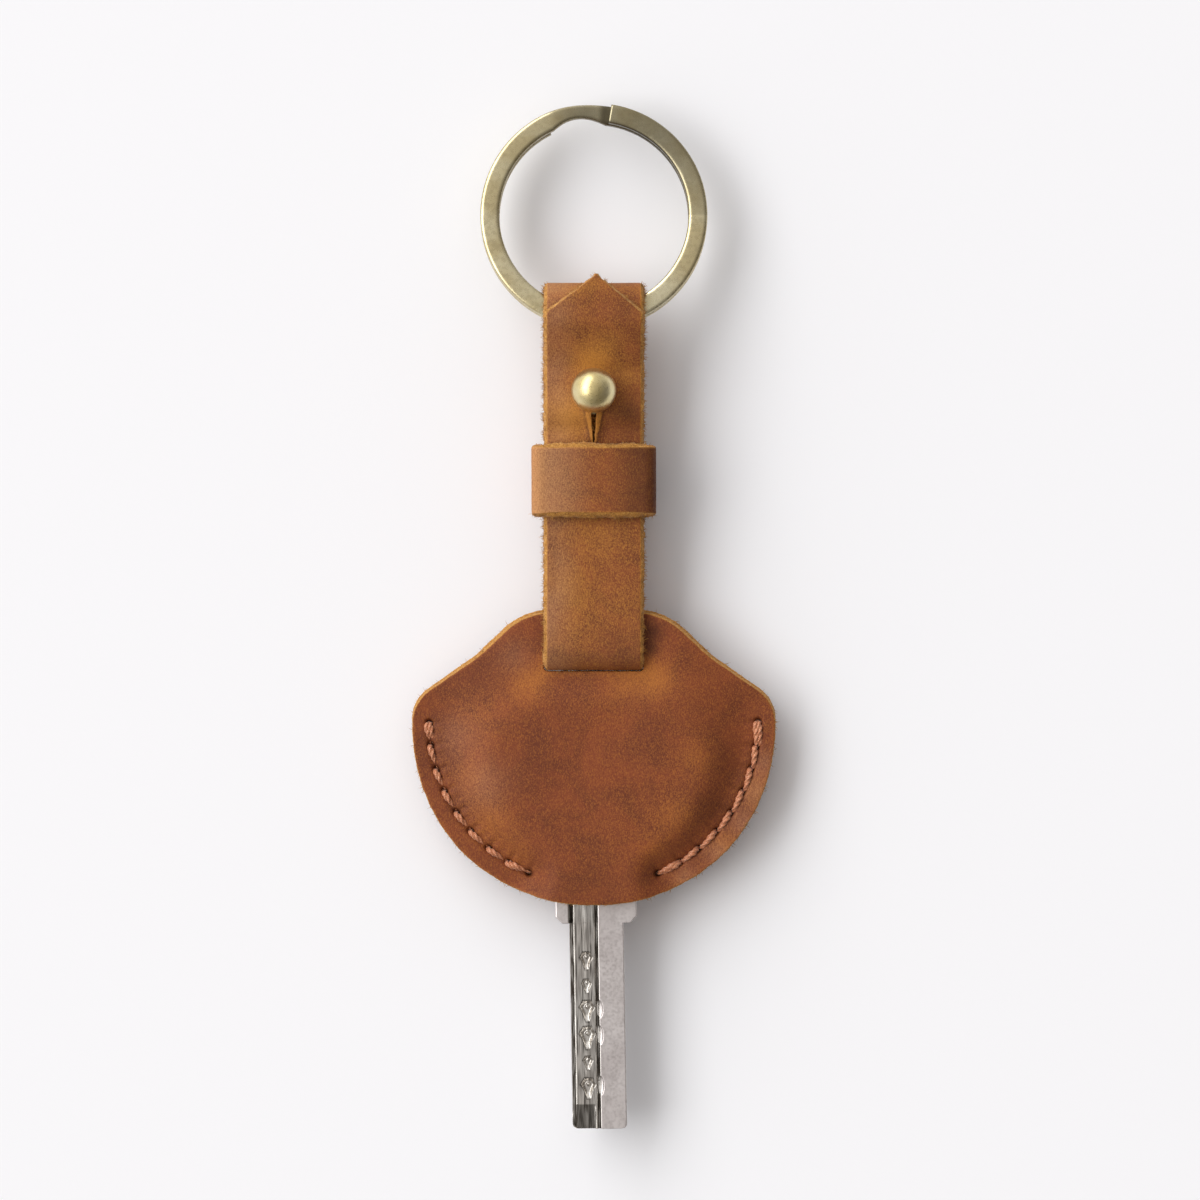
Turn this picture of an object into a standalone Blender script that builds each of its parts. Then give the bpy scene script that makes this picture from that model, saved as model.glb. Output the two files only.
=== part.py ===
"""A leather key cover on a split ring: two stitched panels hold a dimple key, and one folded
strap joins them to the ring. The strap buttons over a ball stud and runs through a keeper.

Lengths are in metres. Places are measured from the middle of the pocket's widest line: X across,
Y up towards the ring, Z up from the table. An empty then centres the whole on the origin.
"""

import math

import bmesh
import bpy
import numpy as np
from mathutils import Matrix, Vector

# Leather and the gaps between its layers
strap_thick = 0.0014
panel_thick = 0.0014
keeper_thick = 0.0014
layer_gap = 0.0003
strap_width = 0.0134

# Pocket outline
pocket_half_width = 0.02565
pocket_depth = 0.02575
pocket_top = 0.0161
pocket_roundness = 2.1
shoulder_shares = ((0.394, 0.950), (0.639, 0.578), (1.0, 0.180))
lobe_radius = 0.010
waist_radius = 0.008
shoulder_radius = 0.0055
panel_cell = 0.0023

# Slot that the strap passes through
slot_low = 0.00704
slot_width = 0.0144
slot_clear = 0.0003
slot_corner = 0.0006

# Seam: awl holes on an arc about the middle of the pocket
seam_margin = 0.00245
seam_radius = pocket_half_width - seam_margin
seam_turn = math.radians(67)
stitch_count = 8
thread_radius = 0.00027
thread_side_step = 0.00036
thread_bend_share = 1.2
awl_half_length = 0.00082
awl_half_width = 0.00045
groove_half_width = 0.00085
groove_depth = 0.00075
thread_lift = 0.0001
seam_flat = 0.0009

# Key
key_thick = 0.0023
key_lean = math.radians(1)
bow_half_width = 0.013
bow_half_height = 0.009
bow_centre_y = -0.0075
key_hole_radius = 0.0035
key_hole_rise = 0.0042
neck_width = 0.0115
neck_end_y = -0.0283
neck_chamfer = 0.0009
blade_width = 0.00768
blade_end_y = -0.0573
blade_tip_radius = 0.0007
track_width = 0.00405
track_depth = 0.00028
track_rib_width = 0.0004
track_run_out = 0.006
edge_chamfer_width = 0.00065
edge_chamfer_drop = 0.00055
side_groove_width = 0.00043
side_groove_depth = 0.00055
dimple_line = 0.0023
dimple_pitch = 0.00358
dimple_radii = (0.00084, 0.00066, 0.0010, 0.00106, 0.00066, 0.00098)
dimple_first_y = -0.0332
dimple_slope_share = 0.5
dimple_floor_share = 0.3
dimple_tail = 0.0009
scooped_dimples = (2, 3, 5)
scoop_line = 0.0041
scoop_half_width = 0.00042
scoop_half_length = 0.00125
scoop_depth = 0.00035
tip_ramp_length = 0.0035
tip_ramp_width = 0.0033
tip_ramp_drop = 0.0006
key_overrun = 0.0001
key_slack_side = 0.0012
key_travel_up = 0.001

# Keeper
keeper_low_y = 0.0287
keeper_length = 0.01045
keeper_high_y = keeper_low_y + keeper_length
keeper_side_clear = 0.00065
keeper_width = strap_width + 2 * (keeper_thick + keeper_side_clear)
keeper_corner = 0.0016
keeper_joint_gap = 0.0003
keeper_hole_x = 0.0018
keeper_hole_y = 0.0024
keeper_groove_depth = 0.0005
keeper_thread_radius = 0.0002

# Ball stud and its screw
stud_rise = 0.00725
stud_y = keeper_high_y + stud_rise
ball_radius = 0.00313
stud_neck_radius = 0.0016
flange_radius = 0.0032
flange_thick = 0.0006
screw_head_radius = 0.0034
screw_head_thick = 0.0009
screw_radius = 0.0010
screw_slot_width = 0.0008
screw_slot_depth = 0.0004
screw_length_in_stud = 0.0022
fit_gap = 0.0003
button_gap = 0.0004
slit_length = 0.0071
slit_top_width = 0.0014
slit_end_width = 0.0003

# Split ring
ring_outer = 0.016
ring_inner = 0.0133
wire_thick = 0.00135
wire_round = 0.00035
turn_gap = 0.00043
cut_turn = math.radians(9)
step_turn = (math.radians(326), math.radians(358))
ring_end_turn = math.radians(684)
step_narrow_share = 0.7
ring_points_per_turn = 42
ring_clear = 0.00023
fold_rise = 0.0112
fold_y = stud_y + fold_rise

# Strap's course along the pocket, the keeper and the stud
hidden_reach = 0.00265
middle_end_y = keeper_high_y - hidden_reach
tip_rise = 0.0051
tip_y = fold_y + tip_rise
tip_taper = 0.0054
rise_run = 0.0018
rise_radius = 0.004
clamp_reach = 0.0038
clamp_radius = 0.005
tip_rise_back = 0.0014
dip_run = 0.0036
dip_start = 0.0005
turn_radius = 0.0004

# Rise of both panels over the strap at the slot
ramp_low_y = 0.0026
ramp_high_y = 0.0068
ramp_inner_x = 0.0082
ramp_outer_x = 0.016

# Cutters and facets
overrun = 0.001
weld_distance = 1e-7
axis_weld = 1e-6
least_turn = 1e-6
arc_step = math.radians(11)
coarse_step = math.radians(45)
sharp_angle = math.radians(40)
lower_outline_steps = 26
bow_steps = 16
turned_sides = 28
screw_sides = 20
hole_sides = 20
thread_hole_sides = 10
pit_sides = 6
scoop_sides = 12
scoop_rings = 6
corner_points = 3
step_points = 6
mm = 0.001

# Levels, from the table up
strap_back_low = keeper_thick + layer_gap
middle_low = strap_back_low + strap_thick + layer_gap
bridge_back_low = strap_thick + layer_gap
bridge_front_low = bridge_back_low + panel_thick + layer_gap
front_low = max(middle_low + strap_thick, bridge_front_low + panel_thick) + layer_gap
flange_low = middle_low + strap_thick + layer_gap
stud_front_low = flange_low + flange_thick + layer_gap
key_low = panel_thick + layer_gap
front_seam_low = panel_thick + layer_gap
bow_rise = key_thick + layer_gap

# Places that follow from the sizes
wire_width = ring_outer - ring_inner
inner_at_edge = math.sqrt(ring_inner**2 - (strap_width / 2) ** 2)
swing_drop = (ring_outer + inner_at_edge) / 2
wire_reach = (ring_outer - inner_at_edge) / 2
ring_half_thick = wire_thick + turn_gap / 2
fold_inner = (
    math.hypot(wire_reach - wire_round, ring_half_thick - wire_round) + wire_round + ring_clear
)
fold_z = strap_thick + fold_inner
fold_middle_radius = fold_inner + strap_thick / 2
tip_low = fold_z + fold_inner + strap_thick + layer_gap
ring_reach = swing_drop + ring_outer
ring_tilt = math.asin(fold_z / math.hypot(ring_reach, ring_half_thick)) - math.atan2(
    ring_half_thick, ring_reach
)
slot_high = slot_low + strap_thick + 2 * slot_clear
turn_y = slot_low + slot_clear + strap_thick / 2
pivot = Vector(
    (0, (slot_high + pocket_top) / 2, (bridge_back_low + bridge_front_low + panel_thick) / 2)
)
top_y = fold_y + ring_reach * math.cos(ring_tilt) + ring_half_thick * math.sin(ring_tilt)
tip_side = blade_width / 2 - blade_tip_radius
low_y = (
    bow_centre_y
    + (blade_end_y - bow_centre_y + blade_tip_radius) * math.cos(key_lean)
    - tip_side * math.sin(key_lean)
    - blade_tip_radius
)
datum_shift = Vector((0, -(top_y + low_y) / 2, 0))

leather_brown = (0.42, 0.15, 0.045, 1)
strap_brown = (0.45, 0.17, 0.05, 1)
thread_pink = (0.58, 0.25, 0.14, 1)
antique_brass = (0.33, 0.28, 0.15, 1)
bright_brass = (0.62, 0.48, 0.22, 1)
nickel = (0.50, 0.47, 0.45, 1)

# Where each object's origin lies in the pocket's frame
places = {}


def clear_scene():
    """Removes the objects that a new file starts with."""
    for obj in list(bpy.data.objects):
        bpy.data.objects.remove(obj, do_unlink=True)


def new_collection(name, hidden=False):
    """A collection in the scene, left out of renders where hidden."""
    collection = bpy.data.collections.new(name)
    bpy.context.scene.collection.children.link(collection)
    collection.hide_render = hidden
    return collection


def new_material(name, colour, roughness, metallic=0.0):
    """A Principled material of one colour."""
    material = bpy.data.materials.new(name)
    material.use_nodes = True
    shader = material.node_tree.nodes["Principled BSDF"]
    shader.inputs["Base Color"].default_value = colour
    shader.inputs["Roughness"].default_value = roughness
    shader.inputs["Metallic"].default_value = metallic
    material.diffuse_color = colour
    return material


def arc(centre, radius, start, end, step=arc_step):
    """Points of an arc about centre, with its ends."""
    steps = max(2, math.ceil(abs(end - start) / step))
    return [
        (
            centre[0] + radius * math.cos(start + (end - start) * i / steps),
            centre[1] + radius * math.sin(start + (end - start) * i / steps),
        )
        for i in range(steps + 1)
    ]


def rounded(points, radii):
    """An open line through points whose inner corners are rounded to radii, one for each corner.
    A radius is limited by the runs beside it."""
    line = [points[0]]
    for before, corner, after, radius in zip(points, points[1:], points[2:], radii):
        a, b, c = Vector(before), Vector(corner), Vector(after)
        back, on = (a - b), (c - b)
        turn = math.pi - back.angle(on)
        if turn < least_turn or radius == 0:
            line.append(corner)
            continue
        last = after == points[-1]
        first = before == points[0]
        room = min(back.length * (1 if first else 0.5), on.length * (1 if last else 0.5))
        reach = min(radius * math.tan(turn / 2), room)
        radius = reach / math.tan(turn / 2)
        start = b + back.normalized() * reach
        end = b + on.normalized() * reach
        centre = b + (back.normalized() + on.normalized()).normalized() * (
            radius / math.cos(turn / 2)
        )
        first_angle = math.atan2(start.y - centre.y, start.x - centre.x)
        last_angle = math.atan2(end.y - centre.y, end.x - centre.x)
        sweep = (last_angle - first_angle + math.pi) % (2 * math.pi) - math.pi
        line += arc(centre, radius, first_angle, first_angle + sweep)
    return line + [points[-1]]


def mirrored(half):
    """A closed outline from its right half, whose ends lie on the middle line."""
    return half + [(-x, y) for x, y in reversed(half[1:-1])]


def finish(obj, collection, parent=None, origin=None, material=None, smooth=True):
    """Links obj, puts its origin at a place of the pocket's frame, and dresses it."""
    for owner in list(obj.users_collection):
        owner.objects.unlink(obj)
    collection.objects.link(obj)
    if origin is not None:
        obj.data.transform(Matrix.Translation(-origin))
        obj.location = origin
    if parent is not None:
        obj.parent = parent
        obj.location -= places.get(parent.name, Vector())
    if material is not None:
        obj.data.materials.append(material)
    if smooth and obj.type == "MESH":
        obj.data.shade_smooth()
        obj.data.set_sharp_from_angle(angle=sharp_angle)
    if collection.hide_render:
        obj.hide_render = True
        obj.display_type = "WIRE"
    places[obj.name] = origin.copy() if origin is not None else Vector()
    return obj


def meshed(obj):
    """A mesh object in place of a curve, with its caps welded."""
    bpy.context.view_layer.update()
    graph = bpy.context.evaluated_depsgraph_get()
    mesh = bpy.data.meshes.new_from_object(obj.evaluated_get(graph))
    work = bmesh.new()
    work.from_mesh(mesh)
    bmesh.ops.remove_doubles(work, verts=work.verts, dist=weld_distance)
    bmesh.ops.recalc_face_normals(work, faces=work.faces)
    work.to_mesh(mesh)
    work.free()
    made = bpy.data.objects.new(obj.name, mesh)
    made.matrix_world = obj.matrix_world
    name = obj.name
    bpy.data.objects.remove(obj, do_unlink=True)
    made.name = name
    bpy.context.scene.collection.objects.link(made)
    return made


def plate(name, outlines, low, high):
    """A flat shape of one or more outlines, an inner one being a hole, between two levels."""
    curve = bpy.data.curves.new(name, "CURVE")
    curve.dimensions = "2D"
    curve.fill_mode = "BOTH"
    curve.extrude = (high - low) / 2
    for outline in outlines:
        spline = curve.splines.new("POLY")
        spline.points.add(len(outline) - 1)
        for point, (x, y) in zip(spline.points, outline):
            point.co = (x, y, 0, 1)
        spline.use_cyclic_u = True
    obj = bpy.data.objects.new(name, curve)
    bpy.context.scene.collection.objects.link(obj)
    obj = meshed(obj)
    obj.data.transform(Matrix.Translation((0, 0, (low + high) / 2)))
    return obj


def tube(name, points, radius, resolution=1):
    """A round tube with closed ends through points."""
    curve = bpy.data.curves.new(name, "CURVE")
    curve.dimensions = "3D"
    curve.bevel_depth = radius
    curve.bevel_resolution = resolution
    curve.use_fill_caps = True
    spline = curve.splines.new("POLY")
    spline.points.add(len(points) - 1)
    for point, place in zip(spline.points, points):
        point.co = (*place, 1)
    obj = bpy.data.objects.new(name, curve)
    bpy.context.scene.collection.objects.link(obj)
    return meshed(obj)


def drum(name, radius, low, high, place, sides=hole_sides, top_radius=None):
    """A cylinder, or a cone where top_radius is given, between two levels."""
    mesh = bpy.data.meshes.new(name)
    work = bmesh.new()
    bmesh.ops.create_cone(
        work,
        cap_ends=True,
        segments=sides,
        radius1=radius,
        radius2=radius if top_radius is None else top_radius,
        depth=high - low,
        matrix=Matrix.Translation((place[0], place[1], (low + high) / 2)),
    )
    work.to_mesh(mesh)
    work.free()
    obj = bpy.data.objects.new(name, mesh)
    bpy.context.scene.collection.objects.link(obj)
    return obj


def band(name, line, width, thick, across):
    """Leather of even thickness whose section follows line, and whose width lies along X or Y."""
    mesh = bpy.data.meshes.new(name)
    work = bmesh.new()
    rows = []
    for side in (-width / 2, width / 2):
        places_on_line = [
            (side, a, b) if across == "X" else (a, side, b) for a, b in line
        ]
        rows.append([work.verts.new(place) for place in places_on_line])
    for i in range(len(line) - 1):
        work.faces.new((rows[0][i], rows[0][i + 1], rows[1][i + 1], rows[1][i]))
    work.to_mesh(mesh)
    work.free()
    obj = bpy.data.objects.new(name, mesh)
    bpy.context.scene.collection.objects.link(obj)
    wall = obj.modifiers.new("Wall", "SOLIDIFY")
    wall.thickness = thick
    wall.offset = 0
    wall.use_even_offset = True
    return meshed(obj)


def joined(name, objects):
    """One object that holds the separate bodies of several, for use as a cutter."""
    mesh = bpy.data.meshes.new(name)
    work = bmesh.new()
    for obj in objects:
        work.from_mesh(obj.data)
    work.to_mesh(mesh)
    work.free()
    for obj in objects:
        bpy.data.objects.remove(obj, do_unlink=True)
    obj = bpy.data.objects.new(name, mesh)
    bpy.context.scene.collection.objects.link(obj)
    return obj


def boolean(obj, cutter, operation="DIFFERENCE", solver="EXACT"):
    """Adds one Boolean modifier, named for its cutter."""
    cut = obj.modifiers.new(cutter.name, "BOOLEAN")
    cut.object = cutter
    cut.operation = operation
    cut.solver = solver


def pocket_outline():
    """The panels' closed outline: a top edge, sloping shoulders and a round lower part."""
    shoulders = [(pocket_half_width * x, pocket_top * y) for x, y in shoulder_shares]
    upper = rounded(
        [(0, pocket_top), *shoulders, (pocket_half_width, 0)],
        (lobe_radius, waist_radius, shoulder_radius),
    )
    power = 2 / pocket_roundness
    angles = [math.pi / 2 * i / lower_outline_steps for i in range(1, lower_outline_steps)]
    lower = [
        (pocket_half_width * math.cos(angle) ** power, -pocket_depth * math.sin(angle) ** power)
        for angle in angles
    ]
    return mirrored(upper + lower + [(0, -pocket_depth)])


def smooth_step(value):
    """0 to 1 with level ends."""
    value = min(max(value, 0), 1)
    return value * value * (3 - 2 * value)


def bridge_share(x, y):
    """1 round the slot, where both panels lie on the strap, and 0 away from it."""
    along = (y - ramp_low_y) / (ramp_high_y - ramp_low_y)
    side = (ramp_outer_x - abs(x)) / (ramp_outer_x - ramp_inner_x)
    return smooth_step(along) * smooth_step(side)


def back_level(x, y):
    """Underside of the back panel: on the table, and lifted over the strap at the slot."""
    return bridge_back_low * bridge_share(x, y)


def distance_to_key(x, y):
    """Distance from a point to the room that the key needs, 0 inside it."""
    half_width = bow_half_width + key_slack_side
    half_height = bow_half_height + key_slack_side + key_travel_up
    share = math.hypot(x / half_width, (y - bow_centre_y) / half_height)
    far = math.hypot(x, y - bow_centre_y)
    to_bow = 0 if share <= 1 else far * (1 - 1 / share)
    beside_neck = max(abs(x) - neck_width / 2 - key_slack_side / 2, 0)
    above_neck = max(y - bow_centre_y, 0)
    return min(to_bow, math.hypot(beside_neck, above_neck))


def distance_to_seam(x, y):
    """Distance from a point to the pressed margin along the seams, 0 on it."""
    side = abs(x)
    turn = math.atan2(-y, side)
    radius = math.hypot(side, y)
    if 0 <= turn <= seam_turn:
        return max(seam_radius - seam_flat - radius, 0)
    end = min(max(turn, 0), seam_turn)
    gap = math.hypot(side - seam_radius * math.cos(end), y + seam_radius * math.sin(end))
    return max(gap - seam_flat, 0)


def front_level(x, y):
    """Underside of the front panel: pressed down at the seams and domed over the key."""
    to_key = distance_to_key(x, y)
    to_seam = distance_to_seam(x, y)
    dome = 1 if to_key == 0 else to_seam / (to_seam + to_key)
    over_key = bow_rise * smooth_step(dome) * (1 - bridge_share(x, y))
    return front_seam_low + back_level(x, y) + over_key


def seam_frame(turn, side):
    """The place on the seam at this turn below the widest line, and its outward direction."""
    out = Vector((side * math.cos(turn), -math.sin(turn), 0))
    return out * seam_radius, out


def seam_holes():
    """Turns of the awl holes, from the mouth up."""
    return [seam_turn * (1 - i / stitch_count) for i in range(stitch_count + 1)]


def capsule(half_length, half_width, place, direction):
    """A slot-shaped outline with round ends, its length along direction."""
    straight = half_length - half_width
    quarter = math.pi / 2
    ends = arc((straight, 0), half_width, -quarter, quarter, coarse_step) + arc(
        (-straight, 0), half_width, quarter, 3 * quarter, coarse_step
    )
    turn = Matrix.Rotation(math.atan2(direction.y, direction.x), 2)
    return [tuple(turn @ Vector(p) + Vector((place.x, place.y))) for p in ends]


def seam_cutters(collection, parent):
    """Cutters for the awl holes and for the grooves that the stitches lie in."""
    front_top = front_seam_low + panel_thick
    holes, front_grooves, back_grooves = [], [], []
    for side in (-1, 1):
        for turn in seam_holes():
            place, out = seam_frame(turn, side)
            outline = capsule(awl_half_length, awl_half_width, place, out)
            holes.append(plate("awl", [outline], -overrun, front_top + overrun))
        spare = 2 * awl_half_width / seam_radius
        start, end = -spare, seam_turn + spare
        outer = arc((0, 0), seam_radius + groove_half_width, start, end)
        inner = arc((0, 0), seam_radius - groove_half_width, end, start)
        line = [(side * x, -y) for x, y in outer + inner]
        front_grooves.append(
            plate("groove", [line], front_top - groove_depth, front_top + overrun + bow_rise)
        )
        back_grooves.append(plate("groove", [line], -overrun, groove_depth))
    cutters = []
    for name, shapes in (
        ("awl_hole_cutter", holes),
        ("front_groove_cutter", front_grooves),
        ("back_groove_cutter", back_grooves),
    ):
        cutters.append(finish(joined(name, shapes), collection, parent, smooth=False))
    return cutters


def panel(name, level, cutters, collection, cutter_collection, parent, material):
    """One pocket panel: a sheet shaped by level, trimmed to the outline and slotted."""
    mesh = bpy.data.meshes.new(name)
    work = bmesh.new()
    reach_x = pocket_half_width + overrun
    reach_y = (pocket_top + pocket_depth) / 2 + overrun
    middle_y = (pocket_top - pocket_depth) / 2
    bmesh.ops.create_grid(
        work,
        x_segments=round(2 * reach_x / panel_cell),
        y_segments=round(2 * reach_y / panel_cell),
        size=1,
        matrix=Matrix.Translation((0, middle_y, 0)) @ Matrix.Diagonal((reach_x, reach_y, 1, 1)),
    )
    for vert in work.verts:
        vert.co.z = level(vert.co.x, vert.co.y)
    lifted = bmesh.ops.extrude_face_region(work, geom=work.faces[:])
    top = [item for item in lifted["geom"] if isinstance(item, bmesh.types.BMVert)]
    bmesh.ops.translate(work, verts=top, vec=(0, 0, panel_thick))
    bmesh.ops.recalc_face_normals(work, faces=work.faces)
    work.to_mesh(mesh)
    work.free()
    obj = bpy.data.objects.new(name, mesh)
    bpy.context.scene.collection.objects.link(obj)

    roof = bridge_front_low + bow_rise + panel_thick + overrun
    outline = plate(name + "_outline_cutter", [pocket_outline()], -overrun, roof)
    finish(outline, cutter_collection, parent, smooth=False)
    left, right = -slot_width / 2, slot_width / 2
    corners = [(0, slot_low), (right, slot_low), (right, slot_high), (0, slot_high)]
    half = rounded(corners, (slot_corner, slot_corner))
    slot = plate(name + "_slot_cutter", [mirrored(half)], -overrun, roof)
    finish(slot, cutter_collection, parent, smooth=False)
    boolean(obj, outline, "INTERSECT")
    boolean(obj, slot)
    for cutter in cutters:
        boolean(obj, cutter)
    return finish(obj, collection, parent, material=material)


def seam_thread(name, side, collection, parent, material):
    """One saddle-stitched thread: up one side of the holes and back down the other, so that
    every space between holes has a stitch on both faces of the pocket."""
    front = front_seam_low + panel_thick - groove_depth + thread_lift + thread_radius
    back = groove_depth - thread_lift - thread_radius
    turns = seam_holes()
    bend = thread_radius * thread_bend_share

    def leg(index, lane, rising):
        """The points where the thread passes through a hole, lane saying which side of it."""
        place, out = seam_frame(turns[index], side)
        offset = lane * (1 if index % 2 == 0 else -1) * thread_side_step
        x, y = (place + out * offset).xy
        levels = (back, back + bend, front - bend, front)
        return [(x, y, z) for z in (levels if rising else levels[::-1])]

    last = stitch_count
    route = []
    for index in range(last + 1):
        route += leg(index, 1, rising=index % 2 == 0)
    for index in range(last - 1, -1, -1):
        route += leg(index, -1, rising=index % 2 == 0)
    return finish(tube(name, route, thread_radius), collection, parent, material=material)


def strap_line():
    """The middle line of the strap in the YZ plane, from its hidden end to its tip."""
    half = strap_thick / 2
    clamp_y = stud_y + clamp_reach
    middle_z, back_z = middle_low + half, strap_back_low + half
    front_z, stud_z, tip_z = front_low + half, stud_front_low + half, tip_low + half

    def tangent(y, z, above):
        """Angle about the fold at which a line from a point touches it."""
        to_point = math.atan2(z - fold_z, y - fold_y)
        away = math.acos(fold_middle_radius / math.hypot(y - fold_y, z - fold_z))
        return to_point - away if above else to_point + away

    start = tangent(clamp_y, middle_z, above=True) % (2 * math.pi)
    end = tangent(clamp_y, back_z, above=False) % (2 * math.pi) - 2 * math.pi
    fold = arc((fold_y, fold_z), fold_middle_radius, start, end)
    dip_y = pocket_top + dip_start
    middle = rounded([(middle_end_y, middle_z), (clamp_y, middle_z), fold[0]], (clamp_radius,))
    rise_y = stud_y - flange_radius
    course = (
        ((clamp_y, back_z), clamp_radius),
        ((dip_y + dip_run, back_z), rise_radius),
        ((dip_y, half), rise_radius),
        ((turn_y, half), turn_radius + half),
        ((turn_y, front_z), turn_radius + half),
        ((rise_y - rise_run, front_z), rise_radius),
        ((rise_y, stud_z), rise_radius),
        ((stud_y + flange_radius, stud_z), rise_radius),
        ((fold_y - tip_rise_back, tip_z), rise_radius),
    )
    corners = [place for place, _ in course]
    radii = [radius for _, radius in course]
    front = rounded([fold[-1], *corners, (tip_y, tip_z)], radii)
    return middle[:-1] + fold + front[1:]


def strap(collection, cutter_collection, parent, material):
    """The folded strap with its arrow tip, buttonhole and screw holes."""
    obj = band("strap", strap_line(), strap_width, strap_thick, "X")
    side = strap_width / 2 + overrun
    slanted_y = tip_y - tip_taper * side / (strap_width / 2)
    beyond_y = tip_y + overrun
    low, high = tip_low - layer_gap / 2, tip_low + strap_thick + overrun
    trims = []
    for sign in (-1, 1):
        outline = [(0, tip_y), (sign * side, slanted_y), (sign * side, beyond_y), (0, beyond_y)]
        trims.append(plate("trim", [outline], low, high))
    tip = joined("tip_cutter", trims)

    stud_place = (0, stud_y)
    low, high = flange_low + flange_thick / 2, stud_front_low + strap_thick + overrun
    hole_radius = stud_neck_radius + button_gap
    buttonhole = drum("buttonhole_cutter", hole_radius, low, high, stud_place)
    slit_top_y, slit_end_y = stud_y - stud_neck_radius, stud_y - slit_length
    wedge = [
        (-slit_top_width / 2, slit_top_y),
        (-slit_end_width / 2, slit_end_y),
        (slit_end_width / 2, slit_end_y),
        (slit_top_width / 2, slit_top_y),
    ]
    slit = plate("slit_cutter", [wedge], front_low - layer_gap / 2, high)
    low, high = strap_back_low - overrun, flange_low - layer_gap / 2
    screw_hole = drum("screw_hole_cutter", screw_radius + fit_gap, low, high, stud_place)
    for cutter in (tip, buttonhole, slit, screw_hole):
        boolean(obj, finish(cutter, cutter_collection, parent, smooth=False))
    return finish(obj, collection, parent, pivot, material)


def turned(name, profile, collection, parent, origin, material, sides=turned_sides):
    """A turned piece: a profile of radius and height, from its top to its foot, spun about Z."""
    mesh = bpy.data.meshes.new(name)
    work = bmesh.new()
    verts = [work.verts.new((radius, 0, height)) for radius, height in profile]
    for a, b in zip(verts, verts[1:]):
        work.edges.new((a, b))
    work.to_mesh(mesh)
    work.free()
    obj = bpy.data.objects.new(name, mesh)
    bpy.context.scene.collection.objects.link(obj)
    spin = obj.modifiers.new("Turn", "SCREW")
    spin.steps = spin.render_steps = sides
    spin.use_merge_vertices = True
    spin.merge_threshold = axis_weld
    spin.use_normal_calculate = True
    obj = meshed(obj)
    obj.data.transform(Matrix.Translation(origin))
    return finish(obj, collection, parent, origin, material)


def stud(collection, parent, material):
    """The ball stud: ball, neck and flange in one, with a blind bore for its screw."""
    neck_join = math.sqrt(ball_radius**2 - stud_neck_radius**2)
    ball_z = flange_thick + 2 * layer_gap + strap_thick + neck_join
    lowest = -math.acos(stud_neck_radius / ball_radius)
    ball = arc((0, ball_z), ball_radius, math.pi / 2, lowest)
    bore_radius = screw_radius + fit_gap
    bore_top = screw_length_in_stud + fit_gap
    profile = [(0, ball_z + ball_radius)] + ball[1:] + [
        (stud_neck_radius, flange_thick),
        (flange_radius, flange_thick),
        (flange_radius, 0),
        (bore_radius, 0),
        (bore_radius, bore_top),
        (0, bore_top),
    ]
    origin = Vector((0, stud_y, flange_low))
    return turned("ball_stud", profile, collection, parent, origin, material)


def stud_screw(collection, cutter_collection, parent, material):
    """The slotted screw that comes through the strap from behind."""
    head_top = strap_back_low - layer_gap
    origin = Vector((0, stud_y, head_top))
    shank_top = flange_low + screw_length_in_stud - head_top
    profile = [
        (0, shank_top),
        (screw_radius, shank_top),
        (screw_radius, 0),
        (screw_head_radius, 0),
        (screw_head_radius, -screw_head_thick),
        (0, -screw_head_thick),
    ]
    obj = turned("stud_screw", profile, collection, parent, origin, material, sides=screw_sides)
    reach = screw_head_radius + overrun
    half = screw_slot_width / 2
    low = head_top - screw_head_thick
    y0, y1 = stud_y - half, stud_y + half
    outline = [(-reach, y0), (reach, y0), (reach, y1), (-reach, y1)]
    slot = plate("screw_slot_cutter", [outline], low - overrun, low + screw_slot_depth)
    finish(slot, cutter_collection, parent, smooth=False)
    boolean(obj, slot)
    return obj


def keeper_middle():
    """Centre of the keeper."""
    height = front_low + strap_thick + layer_gap + keeper_thick
    return Vector((0, keeper_low_y + keeper_length / 2, height / 2))


def keeper(collection, cutter_collection, parent, material):
    """The keeper band, its ends butted under the strap and pierced for their thread."""
    half_thick = keeper_thick / 2
    side = keeper_width / 2 - half_thick
    low, high = half_thick, front_low + strap_thick + layer_gap + half_thick
    gap = keeper_joint_gap / 2
    line = rounded(
        [(gap, low), (side, low), (side, high), (-side, high), (-side, low), (-gap, low)],
        (keeper_corner,) * 4,
    )
    obj = band("keeper", line, keeper_length, keeper_thick, "Y")
    middle = keeper_middle()
    obj.data.transform(Matrix.Translation((0, middle.y, 0)))
    hole_half = 2 * keeper_thread_radius
    hole_top = keeper_thick + overrun / 2
    across = Vector((1, 0))
    holes, outer, inner = [], [], []
    rows = (middle.y - keeper_hole_y, middle.y + keeper_hole_y)
    for y in rows:
        for x in (-keeper_hole_x, keeper_hole_x):
            holes.append(drum("hole", hole_half, -overrun, hole_top, (x, y), thread_hole_sides))
        outline = capsule(keeper_hole_x + hole_half, hole_half, Vector((0, y)), across)
        outer.append(plate("groove", [outline], -overrun, keeper_groove_depth))
    slope = Vector((2 * keeper_hole_x, rows[0] - rows[1]))
    outline = capsule(slope.length / 2 + hole_half, hole_half, Vector((0, middle.y)), slope)
    inner_low = keeper_thick - keeper_groove_depth
    inner.append(plate("groove", [outline], inner_low, hole_top))
    for name, shapes in (
        ("keeper_hole_cutter", holes),
        ("keeper_outer_groove_cutter", outer),
        ("keeper_inner_groove_cutter", inner),
    ):
        cutter = finish(joined(name, shapes), cutter_collection, parent, smooth=False)
        boolean(obj, cutter)
    return finish(obj, collection, parent, middle, material)


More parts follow.
